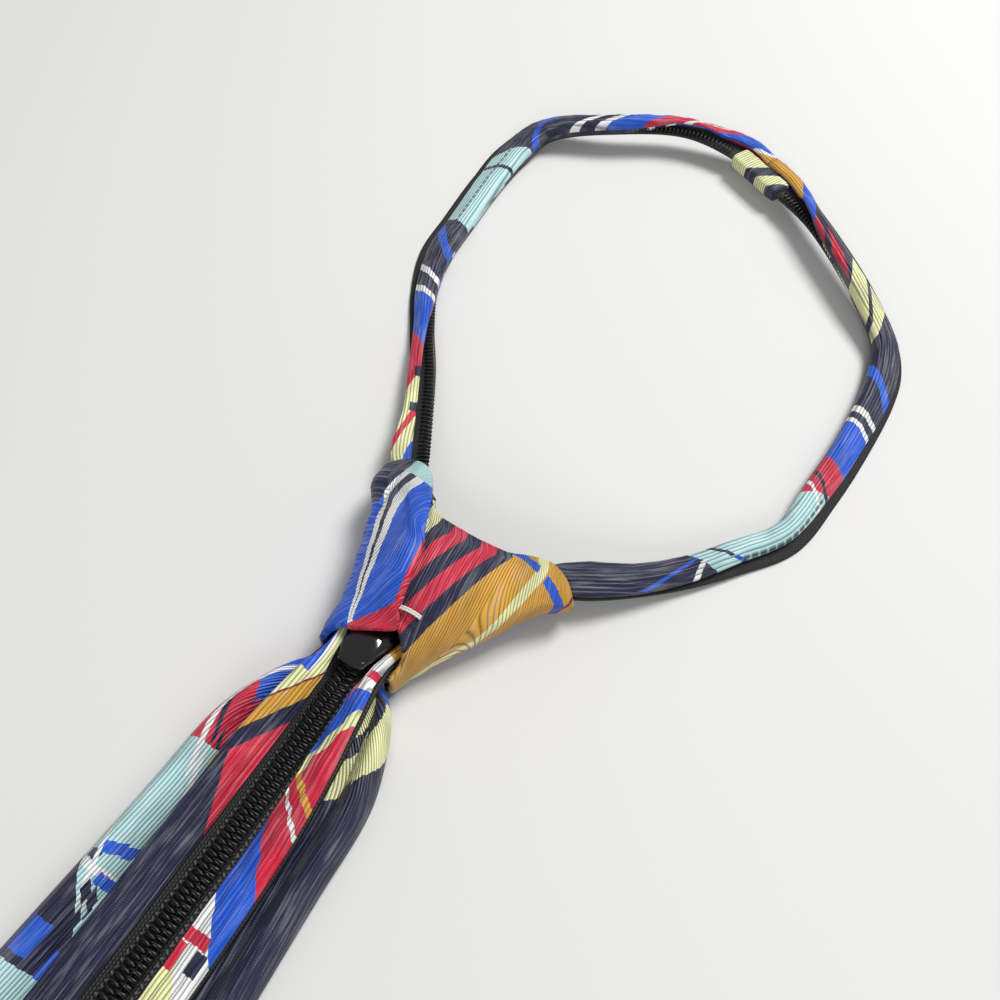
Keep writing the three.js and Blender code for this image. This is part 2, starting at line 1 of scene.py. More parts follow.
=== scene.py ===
"""A zipper tie lying face down: blade, knot, zip and a neck band edged with plaid cloth strips."""
import math

import bpy
import numpy as np
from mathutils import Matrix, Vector


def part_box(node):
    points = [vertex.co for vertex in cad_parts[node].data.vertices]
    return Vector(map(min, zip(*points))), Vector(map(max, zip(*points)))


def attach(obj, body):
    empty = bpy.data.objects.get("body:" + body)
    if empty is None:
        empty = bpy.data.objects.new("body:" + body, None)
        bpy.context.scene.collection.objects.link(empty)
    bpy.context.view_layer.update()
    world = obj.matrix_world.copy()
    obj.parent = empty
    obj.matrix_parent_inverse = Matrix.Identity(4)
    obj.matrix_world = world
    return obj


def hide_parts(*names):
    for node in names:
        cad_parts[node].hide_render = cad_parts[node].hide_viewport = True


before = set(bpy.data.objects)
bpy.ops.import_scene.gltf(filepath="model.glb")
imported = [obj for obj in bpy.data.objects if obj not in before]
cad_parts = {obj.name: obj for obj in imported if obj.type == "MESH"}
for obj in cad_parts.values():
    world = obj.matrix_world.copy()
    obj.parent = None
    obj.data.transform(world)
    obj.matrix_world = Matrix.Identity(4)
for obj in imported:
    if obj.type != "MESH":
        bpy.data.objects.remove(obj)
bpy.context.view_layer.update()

MM = 0.001

# The tie's own origin: on the table, on the zip's middle line, inside the knot above its mouth
SLIDER_LOW, SLIDER_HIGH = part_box("slider")
KNOT_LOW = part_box("knot_wrap")[0]
MOUTH_Y = -17.0
ORIGIN = Vector(((SLIDER_LOW.x + SLIDER_HIGH.x) / 2, KNOT_LOW.y - MOUTH_Y * MM, 0.0))

# Sizes in millimetres
GAP = 0.3
BLADE_LENGTH, BLADE_WIDTH, BLADE_NECK, BLADE_FOLD = 437.0, 80.0, 10.4, 8.5
BLADE_WALL, BLADE_SEAM, TIP_LENGTH, TIP_HEM, HEM_OPENING = 1.2, 0.5, 40.0, 17.0, 90.0
KNOT_WIDTH, KNOT_MOUTH, KNOT_HEIGHT, KNOT_DEPTH, TIP_LIFT, KNOT_WALL = 54.0, 18.8, 35.0, 18.0, 3.0, 1.5
KNOT_SEAM = 0.4
TAPE_WIDTH, TAPE_THICK, TAPE_HINGE, HINGE_ROUND = 12.0, 0.7, 4.3, 1.0
COIL_WIDTH, COIL_HEIGHT, COIL_PITCH = 2.1, 1.5, 1.27
TAIL_LENGTH, STRIP_WIDTH, STRIP_THICK = 158.0, 7.6, 2.2
LOOP_WIDTH, LOOP_LENGTH, LOOP_RISE = 127.2, 150.0, 4.3
SLIDER_LENGTH, SLIDER_PLATE, SLIDER_SPREAD = 10.5, 1.2, 1.9
SLIDER_DOME, SLIDER_DROP = 1.1, 3.2
TACK_LENGTH = 4.2
TAB_LENGTH, TAB_WIDTH = 18.0, 6.3
STOP_LENGTH = 4.0
SEAT = TAPE_THICK + GAP
CHAIN_HALF = GAP / 2
UNDER_SLIDER = SLIDER_PLATE + GAP
SLIDER_Y = MOUTH_Y - SLIDER_DROP
LOOP_FOOT = MOUTH_Y + KNOT_HEIGHT + LOOP_RISE
NAPE_ANGLE = -0.46

# Relief of the cloth and detail of the zip, in millimetres unless a comment says otherwise
STRIP_RING, STRIP_STEP = 32, 0.7  # points round a strip, and the way between its rings
PUCKER_HIGH, PUCKER_RUN = 0.13, 6.5
SWELL_HIGH, SWELL_RUN = 0.12, 17
PLEAT_HIGH, PLEAT_COUNT, PLEAT_SWAY = 0.42, 2.6, 60
PLEAT_FADE = (135, 165)  # the pleats on the tail end between these places
LIP_REACH, LIP_DEEP = 0.5, 1.3  # the strip's inner lip over the coil
TAPE_POINTS, TAPE_STEP = 9, 1.1
WIRE_RADIUS, WIRE_SIDES = 0.21, 6
TOOTH_POINTS, TOOTH_LEAN = 13, 0.8  # the lean is in shares of the pitch
BLADE_POINTS = 45
KNOT_POINTS, KNOT_RINGS, RIM_RINGS = 190, 84, 5
KNOT_TUCK, WING_LIFT, WING_SINK = 2.6, 0.75, 1.15
FOLD_RADIUS, HEM_STEP, CREASE_DEEP, CREASE_WIDE, RIPPLE_HIGH = 0.7, 0.8, 0.45, 0.55, 0.1
THREAD_RADIUS, THREAD_SIDES, THREAD_POINTS = 0.24, 10, 26
TAB_POINTS, TAB_ROWS = 36, 60
CAP_POINTS, CAP_ROWS = 40, 14


# Tables and curves

def table(names, rows):
    """A table of named columns as arrays."""
    return dict(zip(names.split(), np.array(rows, float).T))


def column(rows, by, name, at):
    """Reads a named column at places, on a smooth curve through the rows."""
    x, y = rows[by], rows[name]
    at = np.asarray(at, float)
    low = np.concatenate([[0], np.arange(len(x) - 1)])
    high = np.concatenate([np.arange(1, len(x)), [len(x) - 1]])
    slope = (y[high] - y[low]) / (x[high] - x[low])
    i = np.clip(np.searchsorted(x, at, "left") - 1, 0, len(x) - 2)
    step = x[i + 1] - x[i]
    t = np.clip((at - x[i]) / step, 0, 1)
    t2, t3 = t * t, t * t * t
    start = (2 * t3 - 3 * t2 + 1) * y[i] + (t3 - 2 * t2 + t) * step * slope[i]
    return start + (3 * t2 - 2 * t3) * y[i + 1] + (t3 - t2) * step * slope[i + 1]


def smooth(x, low, high):
    t = np.clip((np.asarray(x, float) - low) / (high - low), 0, 1)
    return t * t * (3 - 2 * t)


def curve_through(points, share):
    """Points at shares of a centripetal curve through the given points."""
    n = len(points)
    place = np.clip(np.asarray(share, float), 0, 1) * (n - 1)
    k = np.clip(np.floor(place).astype(int), 0, n - 2)
    w = (place - k)[..., None]
    padded = np.vstack([2 * points[0] - points[1], points, 2 * points[-1] - points[-2]])
    p0, p1, p2, p3 = padded[k], padded[k + 1], padded[k + 2], padded[k + 3]

    def spread(a, b):
        return np.maximum(np.sqrt(np.linalg.norm(b - a, axis=-1, keepdims=True)), 1e-4)

    d0, d1, d2 = spread(p0, p1), spread(p1, p2), spread(p2, p3)
    t1 = ((p1 - p0) / d0 - (p2 - p0) / (d0 + d1) + (p2 - p1) / d1) * d1
    t2 = ((p2 - p1) / d1 - (p3 - p1) / (d1 + d2) + (p3 - p2) / d2) * d1
    return p1 + t1 * w + (3 * (p2 - p1) - 2 * t1 - t2) * w ** 2 + (2 * (p1 - p2) + t1 + t2) * w ** 3


def wave(x, length, phase=0.0):
    """A gentle wave with a second, shorter one on it, so that the cloth's folding doesn't look even."""
    a = 2 * math.pi * np.asarray(x, float) / length + phase
    return 0.68 * np.sin(a) + 0.32 * np.sin(2.3 * a + 1.7 * phase)


# Blade form, as the frame has it

BLADE_ROWS = table("down wide edge valley lift", [
    (-0.03, 0, 0.6, 0.6, 0.27),
    (0.0, 0.02, 0.62, 0.6, 0.27),
    (0.01, 0.16, 0.76, 0.59, 0.14),
    (0.026, 0.28, 0.96, 0.56, 0.03),
    (0.052, 0.395, 1.0, 0.43, 0),
    (0.092, 0.425, 0.95, 0.34, 0),
    (0.18, 0.495, 0.86, 0.33, 0),
    (0.34, 0.63, 0.7, 0.33, 0),
    (0.42, 0.7, 0.64, 0.44, 0),
    (0.65, 0.86, 0.6, 0.5, 0),
    (0.9, 1.0, 0.56, 0.48, 0),
    (1.0, 1.05, 0.46, 0.44, 0),
])
FOLD_POINTS = table("out back rise", [
    (0, 1, 1), (0.3, 1, 1), (0.6, 1, 1), (0.7, 0.5, 1), (0.79, 0.1, 1), (0.88, 0, 0.97),
    (0.96, 0, 0.76), (1, 0, 0.46), (0.97, 0, 0.17), (0.9, 0, 0), (0.5, 0, 0), (0, 0, 0),
])


def blade_half_width(down):
    left = (1 - down) * BLADE_LENGTH
    body = (BLADE_NECK + column(BLADE_ROWS, "down", "wide", down) * (BLADE_WIDTH - BLADE_NECK)) / 2
    tip = left / TIP_LENGTH * BLADE_WIDTH / 2 + BLADE_WALL
    return np.where(left < TIP_LENGTH, np.minimum(body, tip), body)


def back_height(y):
    """Height of the blade's back along its middle."""
    down = np.maximum((MOUTH_Y - np.asarray(y, float)) / BLADE_LENGTH, -0.03)
    return column(BLADE_ROWS, "down", "valley", down) * BLADE_FOLD


# Knot form, as the frame has it

KNOT_ROWS = table("up wide middle deep seam open", [
    (0, 0, -0.005, 0.8, -0.97, 1.95),
    (0.1, 0.05, 0.001, 0.83, -0.3, 1.2),
    (0.16, 0.09, 0.011, 0.85, 0.1, 0.52),
    (0.22, 0.13, 0.018, 0.87, 0.38, 0),
    (0.33, 0.225, 0.028, 0.93, 0.16, 0),
    (0.62, 0.52, 0.046, 1, -0.085, 0),
    (0.74, 0.64, 0.048, 0.98, -0.135, 0),
    (0.85, 0.81, 0.038, 0.93, -0.19, 0),
    (1, 1, 0.076, 0.76, -0.37, 0),
])
RIM_ROWS = table("across rise", [
    (-1, 0.15), (-0.82, 0.235), (-0.6, 0.215), (-0.36, 0), (-0.1, -0.045), (0.36, -0.03),
    (0.55, 0.03), (0.72, 0.06), (0.88, 0.02), (1, -0.06),
])
BACK_ROUND, FRONT_ROUND = 2.4, 4.0


def knot_half(up):
    """Half the knot's width and its middle, at heights from the mouth (0) to the rim (1)."""
    half = (KNOT_MOUTH + column(KNOT_ROWS, "up", "wide", up) * (KNOT_WIDTH - KNOT_MOUTH)) / 2
    return half, column(KNOT_ROWS, "up", "middle", up) * KNOT_WIDTH


def wrap_point(up, angle, inset=0.0):
    """A point of the knot's wrap: the back is round and the front lies flatter."""
    up, angle = np.broadcast_arrays(up, angle)
    half, middle = knot_half(up)
    deep = column(KNOT_ROWS, "up", "deep", up) * KNOT_DEPTH
    c, s = np.cos(angle), np.sin(angle)
    power = 2 / np.where(s > 0, BACK_ROUND, FRONT_ROUND)
    across = np.sign(c) * np.abs(c) ** power
    high = np.sign(s) * np.abs(s) ** power
    low = TIP_LIFT * up * across * across
    rim = column(RIM_ROWS, "across", "rise", across) * KNOT_HEIGHT
    x = middle + across * (half - inset)
    y = MOUTH_Y + up * (KNOT_HEIGHT + rim)
    z = (deep + low) / 2 + high * ((deep - low) / 2 - inset)
    return np.stack([x, y, z], -1)


def angle_of(share):
    share = np.asarray(share, float)
    return np.arccos(np.clip(np.sign(share) * np.abs(share) ** (BACK_ROUND / 2), -1, 1))


def seam_shares(up):
    """The two wings' edges on the back, as shares of the half width."""
    left = column(KNOT_ROWS, "up", "seam", up)
    parted = np.maximum(column(KNOT_ROWS, "up", "open", up), KNOT_SEAM / knot_half(up)[0])
    return left, np.minimum(left + parted, 1)


# Neck band form, as the frame has it

ON_BLADE = table("down part clear bend tape inset wide", [
    (1, 0, 0, 4, 1, 0.375, 1),
    (0.6, 0, 0, 6, 1, 0.375, 1),
    (0.27, 0, 0.07, 14, 1, 0.375, 1),
    (0.14, 0, 0.33, 30, 0.96, 0.375, 1),
])
IN_SLIDER = table("up part clear bend tape inset wide", [
    (-0.38, 0, 0.8, 40, 0.8, 0.41, 0.68),
    (0, 0, 1, 36, 0.7, 0.46, 0.38),
    (0.5, 0.1, 1, 26, 0.61, 0.46, 0.27),
    (1, 0.9, 1, 20, 0.57, 0.41, 0.26),
])
# The rows below hold x, y, lift, roll, bend, tape, inset and wide
IN_KNOT = {
    "left": [
        (-0.138, 0.501, 0.37, 0, 20, 0.54, 0.31, 0.36),
        (-0.218, 0.866, 0.35, 0, 16, 0.54, 0.3, 0.4),
        (-0.29, 1.149, 0.34, 0, 14, 0.55, 0.3, 0.42),
        (-0.389, 1.371, 0.29, 0, 2, 0.72, 0.32, 0.64),
    ],
    "right": [
        (0.165, 0.523, 0.38, 0, 14, 0.56, 0.28, 0.42),
        (0.283, 0.801, 0.37, 0, 8, 0.52, 0.18, 0.52),
        (0.41, 0.99, 0.35, 0, 4, 0.52, 0.08, 0.66),
        (0.561, 1.149, 0.3, 0, 2, 0.63, 0.02, 0.98),
    ],
}
ROUND_NECK = {
    "left": [
        (-0.212, 0.134, 0.2, 4, 0, 0.56, 0.3, 0.42),
        (-0.272, 0.218, 0.1, 4, 0, 0.52, 0.27, 0.42),
        (-0.336, 0.295, 0.03, 2, 0, 0.5, 0.1, 0.5),
        (-0.396, 0.376, 0, 0, 0, 0.58, 0, 0.72),
        (-0.438, 0.468, 0, 0, 0, 0.76, 0, 0.9),
        (-0.453, 0.563, 0, 0, 0, 0.78, 0, 0.9),
        (-0.468, 0.687, 0, 0, 0, 0.82, 0, 1),
        (-0.467, 0.775, 0.05, 0, 0, 0.86, 0, 1.12),
        (-0.433, 0.85, 0.17, 3, 0, 0.68, 0, 0.98),
        (-0.282, 0.923, 0.34, 6, 0, 0.52, 0, 0.68),
        (-0.138, 0.984, 0.34, 6, 0, 0.52, 0.13, 0.46),
    ],
    "right": [
        (0.31, 0.055, 0.17, 0, 0, 0.5, 0, 0.8),
        (0.371, 0.109, 0.09, 0, 0, 0.5, 0, 0.7),
        (0.428, 0.172, 0.03, 0, 0, 0.54, 0, 0.6),
        (0.488, 0.246, 0, 0, 0, 0.56, 0, 0.56),
        (0.504, 0.352, 0, 0, 0, 0.65, 0, 0.78),
        (0.513, 0.457, 0, 0, 0, 0.65, 0, 0.8),
        (0.512, 0.572, 0, 0, 0, 0.68, 0, 0.9),
        (0.5, 0.638, 0, 0, 0, 0.68, 0, 0.92),
        (0.477, 0.684, 0.06, 4, 0, 0.55, 0, 0.78),
        (0.387, 0.763, 0.2, 12, 0, 0.5, 0, 0.66),
        (0.231, 0.877, 0.28, 8, 0, 0.5, 0.08, 0.5),
    ],
}
NAPE_ROW = (0.063, 0.964, 0.26, 3, 0, 0.7, 0.44, 0.44)


class BandHalf:
    """One half of the band, from the tail's end through the slider and knot to the nape."""

    def __init__(self, name):
        self.name = name
        self.side = -1 if name == "left" else 1
        self.rows = {key: [] for key in ("roll", "bend", "tape", "inset", "wide")}
        self.points = []
        for down, part, clear, bend, tape, inset, wide in zip(*ON_BLADE.values()):
            self.on_blade(MOUTH_Y - down * TAIL_LENGTH, part, clear, bend, tape, inset, wide)
        for up, part, clear, bend, tape, inset, wide in zip(*IN_SLIDER.values()):
            self.on_blade(SLIDER_Y + up * SLIDER_LENGTH, part, clear, bend, tape, inset, wide)
        for x, y, lift, *rest in IN_KNOT[name]:
            self.put((x * KNOT_WIDTH, MOUTH_Y + y * KNOT_HEIGHT, lift * KNOT_DEPTH), *rest)
        turn = np.array((math.cos(NAPE_ANGLE), math.sin(NAPE_ANGLE), 0))
        shifts = [0] * len(ROUND_NECK[name]) + [self.side * TAB_LENGTH / 2, self.side * CHAIN_HALF]
        for (x, y, lift, *rest), shift in zip(ROUND_NECK[name] + [NAPE_ROW, NAPE_ROW], shifts):
            at = np.array((x * LOOP_WIDTH, LOOP_FOOT + y * LOOP_LENGTH, lift * KNOT_DEPTH))
            self.put(at + turn * shift, *rest)
        self.points = np.array(self.points)
        self.rows = {key: np.array(values, float) for key, values in self.rows.items()}
        self.steps = len(self.points) - 1
        self.rows["order"] = np.arange(self.steps + 1.0)
        orders = np.linspace(0, self.steps, 40 * self.steps + 1)
        line = curve_through(self.points, orders / self.steps)
        run = np.concatenate([[0], np.cumsum(np.linalg.norm(np.diff(line, axis=0), axis=1))])
        self.orders, self.run, self.length = orders, run, run[-1]

    def on_blade(self, y, part, clear, bend, tape, inset, wide):
        x = self.side * (CHAIN_HALF + part * SLIDER_SPREAD + tape * TAPE_WIDTH / 2)
        z = float(back_height(y)) + GAP + clear * UNDER_SLIDER
        self.put((x, y, z), 0, bend, tape, inset, wide)

    def put(self, at, roll, bend, tape, inset, wide):
        self.points.append(np.array(at, float))
        for key, value in zip(("roll", "bend", "tape", "inset", "wide"), (roll, bend, tape, inset, wide)):
            self.rows[key].append(value)

    def read(self, name, order):
        return column(self.rows, "order", name, order)

    def order_at(self, run):
        return np.interp(run, self.run, self.orders)

    def run_at(self, order):
        return np.interp(order, self.orders, self.run)

    def point(self, order, across, up):
        """Across from the tooth edge outwards, and up from the tape's underside."""
        order, across, up = np.broadcast_arrays(*(np.asarray(a, float) for a in (order, across, up)))
        share = order / self.steps
        middle = curve_through(self.points, share)
        middle[..., 2] = np.maximum(middle[..., 2], 0)
        ahead = curve_through(self.points, np.minimum(share + 1e-4, 1))
        along = ahead - curve_through(self.points, np.maximum(share - 1e-4, 0))
        out = np.stack([along[..., 1], -along[..., 0], 0 * up], -1) * self.side
        out /= np.linalg.norm(out, axis=-1, keepdims=True)
        bend = np.radians(np.maximum(self.read("bend", order), 0))
        roll = np.radians(np.maximum(self.read("roll", order), 0))
        past = np.maximum(across - TAPE_HINGE, 0)
        lean = bend * smooth(across, TAPE_HINGE - HINGE_ROUND, TAPE_HINGE + HINGE_ROUND)
        flat_x = np.minimum(across, TAPE_HINGE) + past * np.cos(bend) - up * np.sin(lean)
        flat_z = past * np.sin(bend) + up * np.cos(lean)
        x = flat_x * np.cos(roll) - flat_z * np.sin(roll)
        z = flat_x * np.sin(roll) + flat_z * np.cos(roll)
        shift = x - self.read("tape", order) * TAPE_WIDTH / 2
        return middle + out * shift[..., None] + np.stack([0 * z, 0 * z, z], -1)


HALVES = {name: BandHalf(name) for name in ("left", "right")}


# Meshes

def place(points):
    """Millimetres in the tie's own frame to metres in the model's frame."""
    return np.asarray(points, float) * MM + np.array(ORIGIN)


def new_piece(name, points, faces, uvs=None, replaces=(), zones=None, ribs=None):
    """A mesh object that rides on the tie; uvs holds one (across, along) pair in mm for each face corner.

    ribs holds each corner's place across the cloth's ribs, where they don't run straight along it.
    """
    mesh = bpy.data.meshes.new(name)
    mesh.from_pydata(place(points).tolist(), [], faces)
    if uvs is not None:
        uvs = np.asarray(uvs, np.float32)
        mesh.uv_layers.new(name="cloth").data.foreach_set("uv", uvs.ravel())
        ribs = uvs[:, 0] if ribs is None else np.asarray(ribs, np.float32)
        mesh.uv_layers.new(name="ribs").data.foreach_set("uv", np.stack([ribs, uvs[:, 1]], 1).ravel())
    if zones is not None:
        mesh.polygons.foreach_set("material_index", np.asarray(zones, np.int32))
    mesh.polygons.foreach_set("use_smooth", [True] * len(mesh.polygons))
    piece = bpy.data.objects.new(name, mesh)
    bpy.context.scene.collection.objects.link(piece)
    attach(piece, "root")
    if replaces:
        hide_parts(*replaces)
    return piece


def loft(rings, across, along, wall=False):
    """Faces and corner coordinates of closed rings joined in order. across has one more column than a ring."""
    count, n = rings.shape[:2]
    across = np.broadcast_to(across, (count, n + 1))
    along = np.broadcast_to(np.asarray(along, float).reshape(count, -1), (count, n + 1))
    r, i = np.meshgrid(np.arange(count - 1), np.arange(n), indexing="ij")
    r, i = r.ravel(), i.ravel()
    j = (i + 1) % n
    faces = np.stack([r * n + i, r * n + j, (r + 1) * n + j, (r + 1) * n + i], 1)
    corners = [(r, i), (r, i + 1), (r + 1, i + 1), (r + 1, i)]
    uvs = np.stack([np.stack([across[a, b], along[a, b]], -1) for a, b in corners], 1)
    faces, uvs = faces.tolist(), uvs.reshape(-1, 2).tolist()
    for row, turn in ((0, 1), (count - 1, -1)):
        if wall:
            half = n // 2
            for k in range(half - 1):
                quad = [k, k + 1, n - 2 - k, n - 1 - k][::-turn]
                faces.append([row * n + q for q in quad])
                uvs += [(across[row, q], along[row, q]) for q in quad]
        else:
            ring = list(range(n))[::-turn]
            faces.append([row * n + q for q in ring])
            uvs += [(across[row, q], along[row, q]) for q in ring]
    return faces, uvs


def outward(points, faces, uvs):
    """Turns the faces of a closed body outwards."""
    volume = 0.0
    for face in faces:
        a, b, c = (points[face[k]] for k in (0, 1, 2))
        volume += float(np.dot(a, np.cross(b, c)))
    if volume >= 0:
        return faces, uvs
    turned, at = [], 0
    for k, face in enumerate(faces):
        n = len(face)
        turned += uvs[at:at + n][::-1]
        faces[k] = face[::-1]
        at += n
    return faces, turned


# Shader expressions

def rgb(r, g, b):
    """A colour given as it looks on a screen, 0 to 255, as the renderer's linear values."""
    linear = [((c / 255 + 0.055) / 1.055) ** 2.4 if c > 10 else c / 255 / 12.92 for c in (r, g, b)]
    return (*linear, 1.0)


class Value:
    """A number that varies over a surface; arithmetic on it adds Math nodes."""

    def __init__(self, finish, socket):
        self.finish, self.socket = finish, socket

    def math(self, operation, *others):
        settings = {"operation": operation}
        inputs = {k: v for k, v in enumerate((self, *others))}
        return Value(self.finish, self.finish.node("ShaderNodeMath", settings, inputs).outputs[0])

    def __add__(self, other): return self.math("ADD", other)
    def __radd__(self, other): return self.math("ADD", other)
    def __mul__(self, other): return self.math("MULTIPLY", other)
    def __rmul__(self, other): return self.math("MULTIPLY", other)
    def __sub__(self, other): return self.math("SUBTRACT", other)
    def __rsub__(self, other): return (self * -1).math("ADD", other)
    def __truediv__(self, other): return self.math("DIVIDE", other)

    def wave(self): return (self * (2 * math.pi)).math("SINE")
    def whole(self): return self.math("ROUND")
    def part(self): return self.math("FRACT")
    def far(self): return self.math("ABSOLUTE")

    def between(self, low, high):
        """0 below low, 1 above high and smooth between them."""
        settings = {"interpolation_type": "SMOOTHSTEP"}
        node = self.finish.node("ShaderNodeMapRange", settings, {0: self, 1: low, 2: high, 3: 0.0, 4: 1.0})
        return Value(self.finish, node.outputs[0])


class Finish:
    """One material: its nodes, its coordinates and its shader."""

    def __init__(self, name):
        self.material = bpy.data.materials.new(name)
        self.material.use_nodes = True
        self.tree = self.material.node_tree
        self.shader = self.tree.nodes["Principled BSDF"]

    def node(self, kind, settings=None, inputs=None):
        node = self.tree.nodes.new(kind)
        for key, value in (settings or {}).items():
            setattr(node, key, value)
        for key, value in (inputs or {}).items():
            self.feed(node.inputs[key], value)
        return node

    def feed(self, socket, value):
        """Gives a socket a link, if value comes from a node, or else a plain value."""
        if isinstance(value, Value):
            value = value.socket
        if isinstance(value, bpy.types.NodeSocket):
            self.tree.links.new(value, socket)
        else:
            socket.default_value = value

    def cloth(self):
        """Across and along the cloth, in millimetres."""
        uv = self.node("ShaderNodeUVMap", {"uv_map": "cloth"})
        parts = self.node("ShaderNodeSeparateXYZ", None, {0: uv.outputs[0]})
        return Value(self, parts.outputs[0]), Value(self, parts.outputs[1])

    def place(self):
        """The piece's own place, in millimetres."""
        spot = self.node("ShaderNodeTexCoord").outputs["Object"]
        scaled = self.node("ShaderNodeVectorMath", {"operation": "SCALE"}, {0: spot, "Scale": 1 / MM})
        return scaled.outputs[0]

    def noise(self, at, scale, detail=2.0):
        inputs = {"Vector": at, "Scale": scale, "Detail": detail}
        return Value(self, self.node("ShaderNodeTexNoise", None, inputs).outputs[0])

    def vector(self, x, y, z=0.0):
        return self.node("ShaderNodeCombineXYZ", None, {0: x, 1: y, 2: z}).outputs[0]

    def mix(self, amount, a, b):
        """A colour between a and b."""
        return self.node("ShaderNodeMix", {"data_type": "RGBA"}, {0: amount, 6: a, 7: b}).outputs[2]

    def bump(self, height, distance, strength=1.0):
        inputs = {"Height": height, "Distance": distance, "Strength": strength}
        return self.node("ShaderNodeBump", None, inputs).outputs[0]

    def shade(self, **sockets):
        """Sets the shader's sockets, named with underscores for spaces."""
        for key, value in sockets.items():
            self.feed(self.shader.inputs[key.replace("_", " ")], value)
        return self.material


NAVY = rgb(27, 29, 58)
BLUE = rgb(18, 82, 196)
RED = rgb(196, 26, 58)
GOLD = rgb(206, 152, 48)
CREAM = rgb(226, 226, 166)
AQUA = rgb(176, 213, 213)
WHITE = rgb(232, 232, 230)
DARK_RED = rgb(112, 24, 48)
NIGHT = rgb(14, 15, 30)
RIB_PITCH = 0.8
KNOT_RIB = 0.6
RIB_DRIFT, RIB_STAGGER = 0.2, 0.35  # in shares of the pitch
PICK_RUN, RIB_RELIEF = 0.42, 0.17
STITCH_RUN, STITCH_HALF = 2.2, 0.55
WEAVE_ROW, WEAVE_RUN, WEAVE_RELIEF, SEWN_AT = 0.62, 0.8, 0.22, 2.7
TWIST_RUN, TWIST_ROUND, TWIST_RELIEF = 0.5, 0.55, 0.08
NYLON_RELIEF, GLOSS_RELIEF = 0.03, 0.02


def plaid_twill(name, ground, marks=(), pitch=RIB_PITCH, seams=()):
    """Satin twill in a plaid, cut on the bias: ribs run one way over the cloth and colours slant over them.

    Marks are laid in order. One of three is (start, lean, colour) and fills all beyond the line start + lean * across.
    One of six is (start, stop, lean, low, high, colour): a bar from start to stop, and from low to high across.
    A seam is (across, start, stop): a line of stitches pressed into the cloth.
    """
    finish = Finish(name)
    u, v = finish.cloth()
    ribs = Value(finish, finish.node("ShaderNodeUVMap", {"uv_map": "ribs"}).outputs[0])
    ribs = Value(finish, finish.node("ShaderNodeSeparateXYZ", None, {0: ribs.socket}).outputs[0])
    drift = finish.noise(finish.vector(u * 0.12, v * 0.12), 1.0) - 0.5
    rib = ribs / pitch + drift * RIB_DRIFT
    step = rib.whole()
    stagger = ((step * 0.37).part() - 0.5) * (pitch * RIB_STAGGER)
    color = ground
    for mark in marks:
        if len(mark) == 3:
            start, lean, tint = mark
            inside = (v + stagger - u * lean).math("GREATER_THAN", start)
        else:
            start, stop, lean, low, high, tint = mark
            along = (v + stagger - u * lean).math("COMPARE", (start + stop) / 2, (stop - start) / 2)
            inside = along * u.math("COMPARE", (low + high) / 2, (high - low) / 2)
        color = finish.mix(inside, color, tint)
    light = Value(finish, finish.node("ShaderNodeRGBToBW", None, {0: color}).outputs[0])
    ridge = (rib - step).far() * 2
    pick = (v / PICK_RUN + step * 0.5).wave() * 0.5 + 0.5
    groove = ridge.between(0.45, 1.0)
    dots = groove * (0.6 + pick * 0.4)
    depth = light.between(0.01, 0.5) * 0.55 + 0.3
    color = finish.mix(dots * depth, color, NIGHT)
    sheen = finish.noise(finish.vector(ribs * 1.6, v * 0.1), 1.0, 3.0)
    # Painted shade: broad soft patches of the cloth are darkened towards NIGHT for the shade of its folds
    fold_shade = finish.noise(finish.vector(u * 0.16, v * 0.07), 1.0, 2.0)
    color = finish.mix((sheen - 0.45).between(0.0, 0.25) * 0.4, color, finish.mix(0.3, color, WHITE))
    color = finish.mix((0.62 - fold_shade).between(0.0, 0.3) * 0.22, color, NIGHT)
    height = (1 - ridge).between(0.0, 0.85) * 0.8 + pick * 0.2
    for across, start, stop in seams:
        near = (u - across).far().between(0.0, STITCH_HALF)
        thread = (v / STITCH_RUN).part().between(0.2, 0.35)
        inside = v.math("COMPARE", (start + stop) / 2, (stop - start) / 2)
        pressed = (1 - near) * inside
        height = height - pressed * (0.8 + thread * 1.4)
        color = finish.mix(pressed * thread * 0.8, color, NIGHT)
    normal = finish.bump(height, RIB_RELIEF * MM, 0.9)
    return finish.shade(Base_Color=color, Roughness=0.4 + groove * 0.25, Normal=normal,
                        Sheen_Weight=0.05, Sheen_Roughness=0.4, Specular_IOR_Level=0.35)


def black_tape():
    """Woven tape: rows of tiny thread floats, dull black, with two stitched columns beside the coil."""
    finish = Finish("black_tape")
    u, v = finish.cloth()
    row = (u / WEAVE_ROW).whole()
    weave = (v / WEAVE_RUN + row * 0.5).wave() * 0.5 + 0.5
    ridge = 1 - (u / WEAVE_ROW - row).far() * 2
    stitch = (1 - (u - SEWN_AT).far().between(0.1, 0.5)) * ((v / COIL_PITCH).wave() * 0.5 + 0.5)
    height = weave * ridge + stitch
    glint = height.between(0.5, 0.95)
    color = finish.mix(glint * 0.75, rgb(13, 13, 15), rgb(88, 88, 92))
    return finish.shade(Base_Color=color, Roughness=0.62, Normal=finish.bump(height, WEAVE_RELIEF * MM))


def black_nylon():
    """Smooth monofilament with a soft shine."""
    finish = Finish("black_nylon")
    fine = finish.noise(finish.place(), 3.0)
    color = finish.mix(fine, rgb(12, 12, 13), rgb(24, 24, 26))
    return finish.shade(Base_Color=color, Roughness=0.3 + fine * 0.15, Normal=finish.bump(fine, NYLON_RELIEF * MM))


def black_gloss():
    finish = Finish("black_gloss")
    fine = finish.noise(finish.place(), 1.4, 3.0)
    color = finish.mix(fine, rgb(7, 7, 8), rgb(16, 16, 17))
    return finish.shade(Base_Color=color, Roughness=0.08 + fine * 0.1, Coat_Weight=0.6,
                        Normal=finish.bump(fine, GLOSS_RELIEF * MM))


